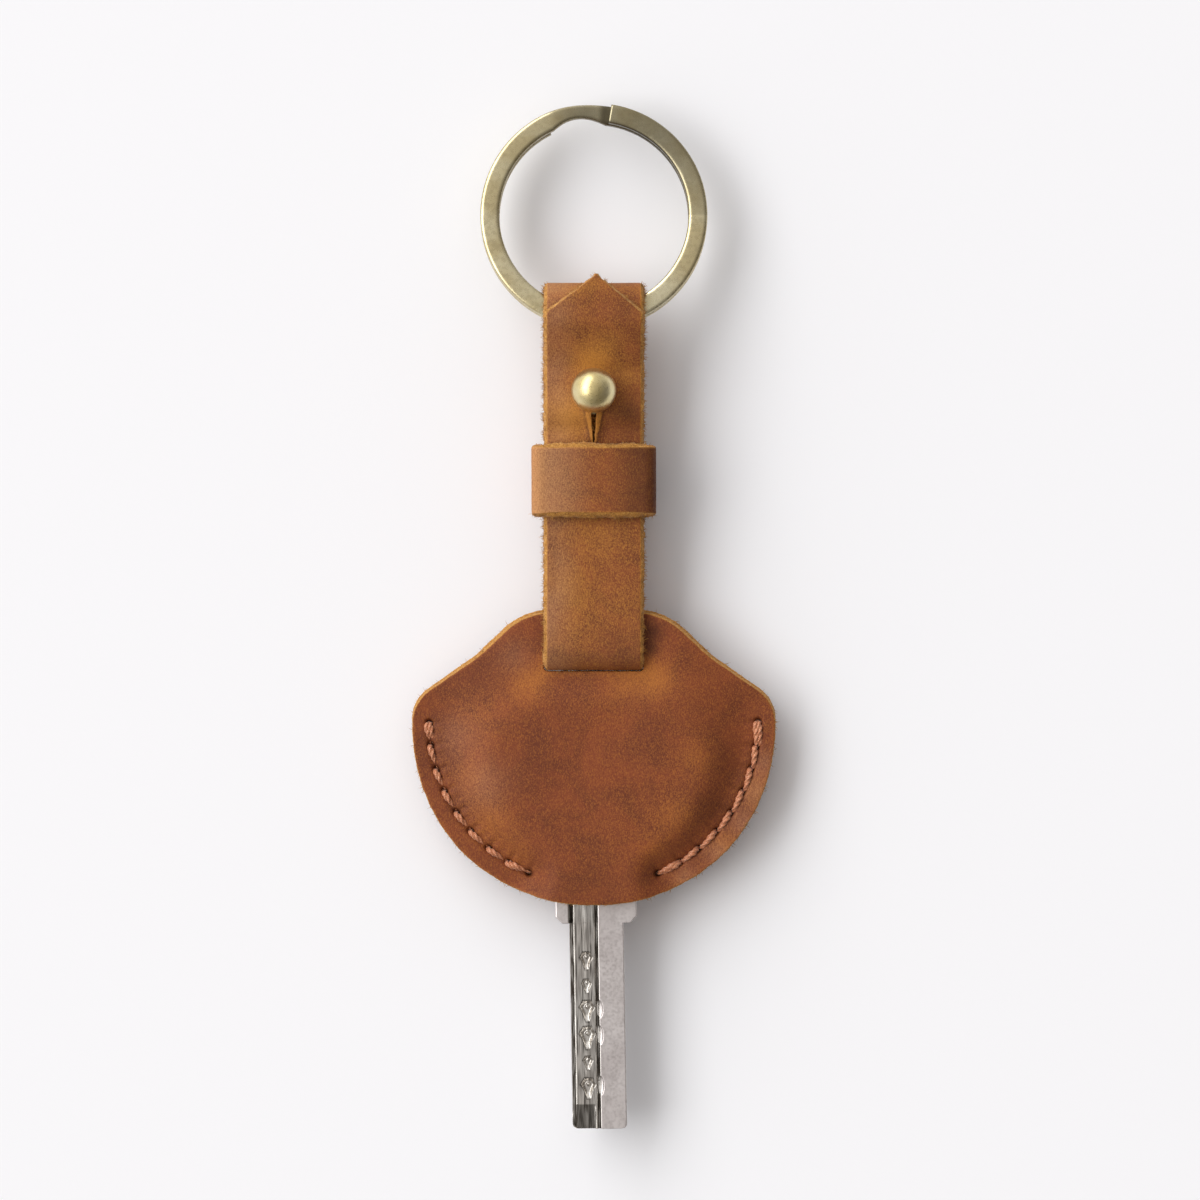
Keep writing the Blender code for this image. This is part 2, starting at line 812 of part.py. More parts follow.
def keeper_thread(collection, parent, material):
    """The thread that draws the keeper's ends together, in a Z through four holes."""
    middle = keeper_middle()
    outside = keeper_groove_depth - thread_lift - keeper_thread_radius
    inside = keeper_thick - keeper_groove_depth + thread_lift + keeper_thread_radius
    low, high = middle.y - keeper_hole_y, middle.y + keeper_hole_y
    x = keeper_hole_x
    bend = keeper_thread_radius
    route = []
    for place, start, end in (
        ((-x, low), inside, outside),
        ((x, low), outside, inside),
        ((-x, high), inside, outside),
        ((x, high), outside, inside),
    ):
        step = bend if end > start else -bend
        route += [(*place, z) for z in (start, start + step, end - step, end)]
    obj = tube("keeper_thread", route, keeper_thread_radius)
    return finish(obj, collection, parent, middle, material)


def ring_route():
    """Points along the middle of the ring's wire and its width share there, about the ring's
    centre: the top turn, a step down, and the turn beneath it."""
    level = (wire_thick + turn_gap) / 2
    middle = (ring_outer + ring_inner) / 2
    steps = math.ceil(ring_end_turn / (2 * math.pi) * ring_points_per_turn)
    turns = set(ring_end_turn * i / steps for i in range(steps + 1))
    span = step_turn[1] - step_turn[0]
    turns |= set(step_turn[0] + span * i / step_points for i in range(step_points + 1))
    route = []
    for turn in sorted(turns):
        along = min(max((turn - step_turn[0]) / span, 0), 1)
        share = smooth_step(along)
        width_share = 1 - (1 - step_narrow_share) * math.sin(math.pi * along)
        radius = middle + wire_width * (1 - width_share) / 2
        angle = math.pi / 2 - cut_turn - turn
        place = Vector((radius * math.cos(angle), radius * math.sin(angle), level * (1 - 2 * share)))
        route.append((place, width_share))
    return route


def least_gap(route):
    """Least distance between the two turns' wires, measured on points of their sections."""
    points = np.array([place for place, _ in route])
    shares = np.array([share for _, share in route])
    out = points[:, :2] / np.linalg.norm(points[:, :2], axis=1)[:, None]
    least = math.inf
    samples = []
    for across in (-0.5, 0, 0.5):
        for up in (-0.5, 0.5):
            moved = points.copy()
            moved[:, :2] += out * (across * wire_width * shares)[:, None]
            moved[:, 2] += up * wire_thick * shares
            samples.append(moved)
    half = len(points) // 3
    for a in samples:
        for b in samples:
            distance = np.linalg.norm(a[:, None] - b[None], axis=2)
            apart = np.abs(np.subtract.outer(np.arange(len(a)), np.arange(len(b)))) > half
            least = min(least, distance[apart].min())
    return least


def key_ring(collection, cutter_collection, parent, material):
    """The split ring: two turns of flat wire with a step between them."""
    section = bpy.data.curves.new("wire_section", "CURVE")
    section.dimensions = "2D"
    half_width, half_thick = wire_width / 2, wire_thick / 2
    corner = wire_round
    outline = []
    for x, y, start in ((1, 1, 0), (-1, 1, 1), (-1, -1, 2), (1, -1, 3)):
        centre = (x * (half_width - corner), y * (half_thick - corner))
        for i in range(corner_points):
            angle = math.pi / 2 * (start + i / (corner_points - 1))
            side, up = corner * math.cos(angle), corner * math.sin(angle)
            outline.append((centre[0] + side, centre[1] + up))
    spline = section.splines.new("POLY")
    spline.points.add(len(outline) - 1)
    for point, (x, y) in zip(spline.points, outline):
        point.co = (x, y, 0, 1)
    spline.use_cyclic_u = True
    guide = bpy.data.objects.new("wire_section", section)
    finish(guide, cutter_collection, smooth=False)

    route = ring_route()
    curve = bpy.data.curves.new("key_ring", "CURVE")
    curve.dimensions = "3D"
    curve.twist_mode = "Z_UP"
    curve.bevel_mode = "OBJECT"
    curve.bevel_object = guide
    curve.use_fill_caps = True
    spline = curve.splines.new("POLY")
    spline.points.add(len(route) - 1)
    for point, (place, share) in zip(spline.points, route):
        point.co = (place.x, place.y + swing_drop, place.z, 1)
        point.radius = share
    obj = bpy.data.objects.new("key_ring", curve)
    bpy.context.scene.collection.objects.link(obj)
    obj = meshed(obj)
    obj.location = Vector((0, fold_y, fold_z)) - places[parent.name]
    obj.rotation_euler.x = -ring_tilt
    finish(obj, collection, None, None, material)
    obj.parent = parent
    print(f"least gap between the ring's turns: {least_gap(route) / mm:.2f} mm")
    return obj


def key_outline():
    """Right half of the key about the middle of its bow, from the bow's top to the blade's tip."""
    neck, blade = neck_width / 2, blade_width / 2
    join = -math.acos(neck / bow_half_width)
    top = math.pi / 2
    angles = [top + (join - top) * i / bow_steps for i in range(bow_steps + 1)]
    bow = [(bow_half_width * math.cos(a), bow_half_height * math.sin(a)) for a in angles]
    bow[0] = (0, bow_half_height)
    neck_y, tip = neck_end_y - bow_centre_y, blade_end_y - bow_centre_y
    stem = rounded(
        [
            bow[-1],
            (neck, neck_y + neck_chamfer),
            (neck - neck_chamfer, neck_y),
            (blade, neck_y),
            (blade, tip),
            (0, tip),
        ],
        (0, 0, 0, blade_tip_radius),
    )
    return bow[:-1] + stem


def bar(name, outline, low, high, along):
    """A bar between two places on X or Y, whose section is an outline of the other and Z."""
    if along == "X":
        obj = plate(name, [outline], low, high)
        obj.data.transform(Matrix(((0, 0, 1, 0), (1, 0, 0, 0), (0, 1, 0, 0), (0, 0, 0, 1))))
    else:
        obj = plate(name, [outline], -high, -low)
        obj.data.transform(Matrix.Rotation(math.pi / 2, 4, "X"))
    return obj


def pit(radius, place, rim, lid):
    """A six-sided pit with a small floor, drawn out to a point on the side of the key's tip."""
    depth = radius * dimple_slope_share
    grown = 1 + (1 - dimple_floor_share) * key_overrun / depth
    levels = (
        (rim - depth, dimple_floor_share, 0),
        (rim + key_overrun, grown, dimple_tail),
        (lid, grown, dimple_tail),
    )
    mesh = bpy.data.meshes.new("pit")
    work = bmesh.new()
    rings = []
    for level, share, tail in levels:
        ring = []
        for i in range(pit_sides):
            angle = math.pi / 2 + 2 * math.pi * i / pit_sides
            reach = radius * share + (tail if 2 * i == pit_sides else 0)
            x, y = place[0] + reach * math.cos(angle), place[1] + reach * math.sin(angle)
            ring.append(work.verts.new((x, y, level)))
        rings.append(ring)
    work.faces.new(rings[0][::-1])
    work.faces.new(rings[-1])
    for lower, upper in zip(rings, rings[1:]):
        for i in range(pit_sides):
            j = (i + 1) % pit_sides
            work.faces.new((lower[i], lower[j], upper[j], upper[i]))
    work.to_mesh(mesh)
    work.free()
    obj = bpy.data.objects.new("pit", mesh)
    bpy.context.scene.collection.objects.link(obj)
    return obj


def scoop(place, level):
    """A lens-shaped scoop beside a pit, where the cutter broke through the track's side."""
    mesh = bpy.data.meshes.new("scoop")
    work = bmesh.new()
    shape = Matrix.Diagonal((scoop_half_width, scoop_half_length, scoop_depth, 1))
    bmesh.ops.create_uvsphere(
        work,
        u_segments=scoop_sides,
        v_segments=scoop_rings,
        radius=1,
        matrix=Matrix.Translation((*place, level)) @ shape,
    )
    work.to_mesh(mesh)
    work.free()
    obj = bpy.data.objects.new("scoop", mesh)
    bpy.context.scene.collection.objects.link(obj)
    return obj


def milling():
    """What is cut from the key's front face, about the middle of its bow: the two tracks, the
    chamfered edge and the side groove, the pits, and the scoops with the ramp at the tip."""
    half = key_thick / 2
    left, lid = -blade_width / 2, half + overrun
    floor = half - track_depth
    start = neck_end_y - bow_centre_y + track_run_out
    tip = blade_end_y - bow_centre_y
    end = tip - overrun
    rib_x = left + dimple_line
    groove_low, groove_high = left + track_width - side_groove_width, left + track_width
    tracks = []
    for x0, x1 in (
        (left - key_overrun, rib_x - track_rib_width / 2),
        (rib_x + track_rib_width / 2, (groove_low + groove_high) / 2),
    ):
        tracks.append(plate("track", [[(x0, end), (x1, end), (x1, start), (x0, start)]], floor, lid))

    slope = edge_chamfer_drop / edge_chamfer_width
    outer, inner = left - key_overrun, left + edge_chamfer_width + key_overrun
    low = floor - edge_chamfer_drop - slope * key_overrun
    high = floor + slope * key_overrun
    edges = [bar("chamfer", [(outer, low), (inner, high), (outer, high)], end, start, "Y")]
    groove = [(groove_low, end), (groove_high, end), (groove_high, start), (groove_low, start)]
    edges.append(plate("groove", [groove], half - side_groove_depth, lid))

    pits, scoops = [], []
    for index, radius in enumerate(dimple_radii):
        y = dimple_first_y - bow_centre_y - index * dimple_pitch
        pits.append(pit(radius, (rib_x, y), floor, lid))
        if index in scooped_dimples:
            scoops.append(scoop((left + scoop_line, y), half))

    slope = tip_ramp_drop / tip_ramp_length
    top = tip + tip_ramp_length + overrun
    section = [
        (end, floor - tip_ramp_drop - slope * overrun),
        (top, floor + slope * overrun),
        (top, lid),
        (end, lid),
    ]
    scoops.append(bar("ramp", section, left - key_overrun, left + tip_ramp_width, "X"))
    return {
        "track_cutter": tracks,
        "edge_cutter": edges,
        "dimple_cutter": pits,
        "scoop_cutter": scoops,
    }


def key(collection, cutter_collection, parent, material):
    """The dimple key: bow with its hole, neck, and a blade milled and dimpled on both faces."""
    half = key_thick / 2
    hole = arc((0, key_hole_rise), key_hole_radius, 0, 2 * math.pi)[:-1]
    obj = plate("key", [mirrored(key_outline()), hole], -half, half)
    obj.location = Vector((0, bow_centre_y, key_low + half))
    obj.rotation_euler.z = key_lean
    finish(obj, collection, None, None, material)
    obj.parent = parent
    places[obj.name] = Vector()

    front, back = milling(), milling()
    for name, shapes in back.items():
        for shape in shapes:
            shape.data.transform(Matrix.Rotation(math.pi, 4, "Y"))
        both = joined(name, front[name] + shapes)
        cutter = finish(both, cutter_collection, smooth=False)
        cutter.parent = obj
        boolean(obj, cutter, solver="MANIFOLD")
    return obj


def main():
    """Builds the cover's nodes and prints the places that its joints turn about."""
    clear_scene()
    parts = new_collection("key_fob_cover")
    cutters = new_collection("cutters", hidden=True)
    leather = new_material("pull_up_leather", leather_brown, 0.55)
    strap_leather = new_material("strap_leather", strap_brown, 0.55)
    thread = new_material("waxed_thread", thread_pink, 0.5)
    ring_brass = new_material("antique_brass", antique_brass, 0.4, 1.0)
    ball_brass = new_material("satin_brass", bright_brass, 0.3, 1.0)
    key_nickel = new_material("key_nickel", nickel, 0.4, 1.0)

    datum = bpy.data.objects.new("fob_datum", None)
    parts.objects.link(datum)
    datum.location = datum_shift
    strap_pivot = bpy.data.objects.new("strap_pivot", None)
    parts.objects.link(strap_pivot)
    strap_pivot.parent = datum
    strap_pivot.location = pivot
    places[datum.name] = Vector()
    places[strap_pivot.name] = pivot.copy()

    awl_holes, front_groove, back_groove = seam_cutters(cutters, datum)
    panel("front_panel", front_level, (awl_holes, front_groove), parts, cutters, datum, leather)
    panel("back_panel", back_level, (awl_holes, back_groove), parts, cutters, datum, leather)
    seam_thread("left_seam_thread", -1, parts, datum, thread)
    seam_thread("right_seam_thread", 1, parts, datum, thread)
    key(parts, cutters, datum, key_nickel)
    strap(parts, cutters, strap_pivot, strap_leather)
    stud(parts, strap_pivot, ball_brass)
    stud_screw(parts, cutters, strap_pivot, ball_brass)
    keeper(parts, cutters, strap_pivot, strap_leather)
    keeper_thread(parts, strap_pivot, thread)
    key_ring(parts, cutters, strap_pivot, ring_brass)
    bpy.context.view_layer.update()
    for name, place in (
        ("strap rocks at", pivot),
        ("ring swings at", Vector((0, fold_y, fold_z))),
    ):
        where = (place + datum_shift) / mm
        print(f"{name} Y {where.y:.3f} Z {where.z:.3f} mm")


main()
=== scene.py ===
"""Looks of a stitched leather key cover with its strap, ball stud, split ring and dimple key.

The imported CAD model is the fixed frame. Sizes here are in millimetres and are turned to metres
when a mesh is made. Shapes are drawn about the middle of the pocket's widest line, X across and
Y towards the ring, and then shifted to where the frame holds them.
"""

import logging
import math
from dataclasses import dataclass, field
from enum import Enum
from typing import Sequence

import bmesh
import bpy
import numpy as np
from bpy.types import GeometryNodeTree, ID, Material, Mesh, Node, NodeSocket, NodeTree, Object
from mathutils import Matrix, Vector, noise


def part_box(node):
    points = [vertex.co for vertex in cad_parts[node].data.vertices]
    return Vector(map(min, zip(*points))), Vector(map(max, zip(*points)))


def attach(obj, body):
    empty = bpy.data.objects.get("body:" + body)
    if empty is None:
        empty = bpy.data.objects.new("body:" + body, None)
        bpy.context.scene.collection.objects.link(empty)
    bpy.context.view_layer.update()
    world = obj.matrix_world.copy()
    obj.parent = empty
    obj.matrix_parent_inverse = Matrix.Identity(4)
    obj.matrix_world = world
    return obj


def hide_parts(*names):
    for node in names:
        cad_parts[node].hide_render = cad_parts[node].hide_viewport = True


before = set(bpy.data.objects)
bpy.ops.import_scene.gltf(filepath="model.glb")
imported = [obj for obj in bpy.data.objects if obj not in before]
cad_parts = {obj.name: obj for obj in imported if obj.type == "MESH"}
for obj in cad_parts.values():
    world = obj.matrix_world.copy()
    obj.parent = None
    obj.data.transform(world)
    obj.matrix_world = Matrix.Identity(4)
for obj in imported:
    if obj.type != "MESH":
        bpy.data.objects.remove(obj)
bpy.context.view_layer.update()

log = logging.getLogger("key_cover")

MM = 0.001
LEAST = 1e-6
PLIES = 3

Array = np.ndarray
Place = Sequence[float]


class Body(Enum):
    """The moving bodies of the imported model."""

    POCKET = "pocket"
    KEY = "key"
    STRAP = "strap"
    KEEPER = "keeper"
    RING = "ring"


class Side(Enum):
    """The two seams of the pocket, by the sign of X."""

    LEFT = -1
    RIGHT = 1


def linear(colour: str) -> tuple[float, float, float, float]:
    """The linear colour of an sRGB hex value.

    Args:
        colour: A value such as "#8E4E2C".

    Returns:
        Red, green, blue and alpha for a shader socket.
    """
    parts = [int(colour[i : i + 2], 16) / 255 for i in (1, 3, 5)]
    flat = [p / 12.92 if p <= 0.04045 else ((p + 0.055) / 1.055) ** 2.4 for p in parts]
    return (flat[0], flat[1], flat[2], 1.0)


def per(size_mm: float) -> float:
    """The texture scale whose features are this many millimetres."""
    return 1 / (size_mm * MM)


def smooth(value: Array | float) -> Array | float:
    """0 to 1 with level ends, for numbers and arrays."""
    held = np.clip(value, 0, 1)
    return held * held * (3 - 2 * held)


def bell(value: Array, reach: float, strength: float = 1.0) -> Array:
    """The strength where the value is 0, fading on both sides of it over the reach."""
    return strength * np.exp(-((value / reach) ** 2))


def patches(x: Array, y: Array, places: Sequence[Place]) -> Array:
    """The sum of soft round patches.

    Args:
        x: Places across.
        y: Places along.
        places: X, Y, radius and strength of each patch.

    Returns:
        One value for each place.
    """
    total = np.zeros_like(x)
    for px, py, radius, strength in places:
        total += strength * np.exp(-((x - px) ** 2 + (y - py) ** 2) / radius**2)
    return total


def rough(points: Array, size: float, seed: float, height: float = 1.0) -> Array:
    """Smooth random values at points.

    Args:
        points: Rows of X, Y and Z in millimetres.
        size: The width of a bump in millimetres.
        seed: Moves the pattern, so that two pieces differ.
        height: About the largest value, and the smallest with its sign turned.

    Returns:
        One value for each row.
    """
    flat = np.asarray(points).reshape(-1, 3) / size + seed
    values = np.array([noise.noise(Vector(p)) for p in flat])
    return height * values.reshape(np.asarray(points).shape[:-1])


def rough_line(line: Array, size: float, seed: float, height: float) -> Array:
    """Smooth random values at plane points, as rough() gives them."""
    return rough(np.column_stack([line, 0 * line[:, 0]]), size, seed, height)


def plug(node: Node, values: dict) -> None:
    """Fills a node's inputs.

    Args:
        node: The node.
        values: By name or index, an output to link or a constant to set.
    """
    for key, value in values.items():
        if isinstance(value, NodeSocket):
            node.id_data.links.new(value, node.inputs[key])
        else:
            node.inputs[key].default_value = value


def add(
    tree: NodeTree,
    kind: str,
    values: dict | None = None,
    stops: Sequence[tuple[float, str]] = (),
    **settings: object,
) -> Node:
    """Adds a node to a tree.

    Args:
        tree: The tree that gets the node.
        kind: Blender's name of the node's type.
        values: What goes into its inputs, by name or index: an output to link, or a constant.
        stops: Positions and hex colours of a colour ramp.
        settings: Properties of the node.

    Returns:
        The node.
    """
    made = tree.nodes.new(kind)
    for key, setting in settings.items():
        setattr(made, key, setting)
    plug(made, values or {})
    if stops:
        elements = made.color_ramp.elements
        while len(elements) < len(stops):
            elements.new(0.5)
        for element, (position, colour) in zip(elements, stops):
            element.position, element.color = position, linear(colour)
    return made


def new_surface(name: str) -> tuple[Material, NodeTree, Node]:
    """A material with only its Principled shader and output.

    Args:
        name: The material's name.

    Returns:
        The material, its tree and its shader.
    """
    material = bpy.data.materials.new(name)
    material.use_nodes = True
    tree = material.node_tree
    return material, tree, tree.nodes["Principled BSDF"]


def shown(name: str, data: ID) -> Object:
    """Puts a new object at the origin of the scene.

    Args:
        name: Its name.
        data: Its mesh, curve, camera or light.

    Returns:
        The object.
    """
    obj = bpy.data.objects.new(name, data)
    bpy.context.scene.collection.objects.link(obj)
    return obj


def mesh_object(name: str, points: Array, faces: Sequence[Sequence[int]]) -> Object:
    """A mesh object in the scene, its faces turned outwards.

    Args:
        name: The object's name.
        points: Rows of X, Y and Z in millimetres, in the pocket's frame.
        faces: Rows of point numbers.

    Returns:
        The object, at the origin, with its place in its mesh.
    """
    mesh = bpy.data.meshes.new(name)
    placed = (np.asarray(points, float).reshape(-1, 3) + (0, DATUM_Y, 0)) * MM
    mesh.from_pydata(placed.tolist(), [], faces)
    work = bmesh.new()
    work.from_mesh(mesh)
    bmesh.ops.recalc_face_normals(work, faces=work.faces)
    work.to_mesh(mesh)
    work.free()
    mesh.shade_smooth()
    return shown(name, mesh)


def loft(
    name: str, rows: Array, numbers: Array | int = 0, cap_number: int = 0
) -> Object:
    """A closed skin through rings of points, capped at both ends.

    Args:
        name: The object's name.
        rows: Points in millimetres, shaped (rings, points in a ring, 3).
        numbers: The faces' material numbers, by ring, by column or by both.
        cap_number: The caps' material number.

    Returns:
        The object.
    """
    count, width = rows.shape[:2]
    ring, column = np.divmod(np.arange((count - 1) * width), width)
    here, following = ring * width, (column + 1) % width
    corners = (here + column, here + following, here + width + following, here + width + column)
    caps = [list(range(width)), list(range((count - 1) * width, count * width))]
    obj = mesh_object(name, rows, np.stack(corners, 1).tolist() + caps)
    given = np.broadcast_to(numbers, (count - 1, width)).astype(int).ravel().tolist()
    obj.data.polygons.foreach_set("material_index", given + [cap_number] * 2)
    return obj


def worked_out(obj: Object) -> Mesh:
    """A new mesh of an object as its modifiers leave it.

    Args:
        obj: The object.

    Returns:
        The mesh.
    """
    bpy.context.view_layer.update()
    graph = bpy.context.evaluated_depsgraph_get()
    return bpy.data.meshes.new_from_object(obj.evaluated_get(graph))


def prism(
    name: str, outline: Sequence[Place], low: float, high: float, material: Material
) -> Object:
    """An upright block to cut with.

    Args:
        name: The block's name.
        outline: X and Y of its corners.
        low: Its foot.
        high: Its top.
        material: What the walls that it cuts are made of.

    Returns:
        The block.
    """
    rows = [np.column_stack([outline, np.full(len(outline), z)]) for z in (low, high)]
    return dressed(loft(name, np.array(rows)), material)


def cut(obj: Object, cutter: Object) -> None:
    """Cuts one object from another, whose new walls get the cutter's material.

    Args:
        obj: The object to cut, whose mesh is then plain again.
        cutter: The shape to take away, which is then removed.
    """
    made = obj.modifiers.new(cutter.name, "BOOLEAN")
    made.object = cutter
    made.operation = "DIFFERENCE"
    made.solver = "EXACT"
    made.material_mode = "TRANSFER"
    mesh = worked_out(obj)
    obj.modifiers.clear()
    old, obj.data = obj.data, mesh
    bpy.data.meshes.remove(old)
    bpy.data.objects.remove(cutter, do_unlink=True)


def points_of(obj: Object) -> Array:
    """A mesh's points in the pocket's frame.

    Args:
        obj: The object of the mesh.

    Returns:
        Rows of X, Y and Z in millimetres.
    """
    flat = np.empty(len(obj.data.vertices) * 3)
    obj.data.vertices.foreach_get("co", flat)
    return flat.reshape(-1, 3) / MM - (0, DATUM_Y, 0)


def paint(obj: Object, name: str, values: Array) -> None:
    """Stores one number for each point, which a material reads.

    Args:
        obj: The object to mark.
        name: The attribute's name.
        values: One number for each point.
    """
    layer = obj.data.attributes.new(name, "FLOAT", "POINT")
    layer.data.foreach_set("value", np.clip(values, 0, 1).astype(np.float32))


def dressed(obj: Object, *materials: Material) -> Object:
    """Gives a new object its materials.

    Args:
        obj: The object.
        materials: What goes into its slots, in this order.

    Returns:
        The same object.
    """
    for material in materials:
        obj.data.materials.append(material)
    return obj


def dress_node(name: str, material: Material) -> None:
    """Gives a material to a CAD node that stays visible, and leaves its mesh as it is.

    Args:
        name: The node.
        material: The material.
    """
    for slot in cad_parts[name].material_slots:
        slot.link = "OBJECT"
        slot.material = material


def settle(obj: Object, body: Body, slot: str, *nodes: str) -> None:
    """Ties a finished piece to its body and to the CAD nodes that it stands for.

    Args:
        obj: The piece.
        body: The body that it rides on.
        slot: Not used.
        nodes: The nodes that it replaces.
    """
    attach(obj, body.value)
    if nodes:
        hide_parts(*nodes)
    log.info("%s: %d faces", obj.name, len(obj.data.polygons))


def arc(centre: Place, radius: float, start: float, end: float, step: float) -> list[tuple]:
    """Points of an arc, with its ends.

    Args:
        centre: Its centre.
        radius: Its radius.
        start: The angle of its first point.
        end: The angle of its last point.
        step: The largest angle between points.

    Returns:
        Pairs of coordinates.
    """
    count = max(2, math.ceil(abs(end - start) / step))
    angles = [start + (end - start) * i / count for i in range(count + 1)]
    return [(centre[0] + radius * math.cos(a), centre[1] + radius * math.sin(a)) for a in angles]


def circle(centre: Place, radius: float, step: float) -> list[tuple]:
    """Points of a whole circle, none of them twice, as arc() gives them."""
    return arc(centre, radius, 0, 2 * math.pi, step)[:-1]


def rounded(points: Sequence[Place], radii: Sequence[float], step: float = math.radians(6)) -> list:
    """An open line with its inner corners rounded.

    Args:
        points: The line's corners and ends.
        radii: One radius for each inner corner, limited by the runs beside it.
        step: The largest angle between points of a rounding.

    Returns:
        Pairs of coordinates.
    """
    line = [tuple(points[0])]
    last = len(points) - 1
    for index, radius in zip(range(1, last), radii):
        a, b, c = (Vector(points[index + k]) for k in (-1, 0, 1))
        back, on = a - b, c - b
        turn = math.pi - back.angle(on)
        if turn < LEAST or radius == 0:
            line.append(tuple(b))
            continue
        back_share = 1 if index == 1 else 0.5
        on_share = 1 if index == last - 1 else 0.5
        room = min(back.length * back_share, on.length * on_share)
        reach = min(radius * math.tan(turn / 2), room)
        radius = reach / math.tan(turn / 2)
        middle = (back.normalized() + on.normalized()).normalized()
        centre = b + middle * (radius / math.cos(turn / 2))
        start = b + back.normalized() * reach - centre
        end = b + on.normalized() * reach - centre
        first = math.atan2(start.y, start.x)
        sweep = (math.atan2(end.y, end.x) - first + math.pi) % (2 * math.pi) - math.pi
        line += arc(centre, radius, first, first + sweep, step)
    return line + [tuple(points[-1])]


def evenly(line: Sequence[Place], step: float) -> Array:
    """A line's points at even steps along it.

    Args:
        line: The line's points.
        step: The wanted distance between points.

    Returns:
        Points, the ends among them.
    """
    corners = np.asarray(line, float)
    runs = np.linalg.norm(np.diff(corners, axis=0), axis=1)
    along = np.concatenate([[0], np.cumsum(runs)])
    spots = np.linspace(0, along[-1], max(2, round(along[-1] / step)) + 1)
    return np.stack([np.interp(spots, along, corners[:, k]) for k in range(corners.shape[1])], 1)


@dataclass(frozen=True)
class Leather:
    """Sizes that the leather pieces share, in millimetres."""

    thick: float = 1.4
    gap: float = 0.3
    pocket_half_width: float = 25.65
    pocket_depth: float = 25.75
    pocket_top: float = 16.1
    roundness: float = 2.1
    shoulder_shares: tuple = ((0.394, 0.950), (0.639, 0.578), (1.0, 0.180))
    shoulder_radii: tuple = (10.0, 8.0, 5.5)
    seam_radius: float = 23.2
    seam_turn: float = math.radians(67)
    stitch_count: int = 8
    stud_y: float = 46.4
    slot_low: float = 7.16
    slot_high: float = 9.04
    slot_half_width: float = 7.02


CUT = Leather()
DATUM_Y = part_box("front_panel")[1].y / MM - CUT.pocket_top


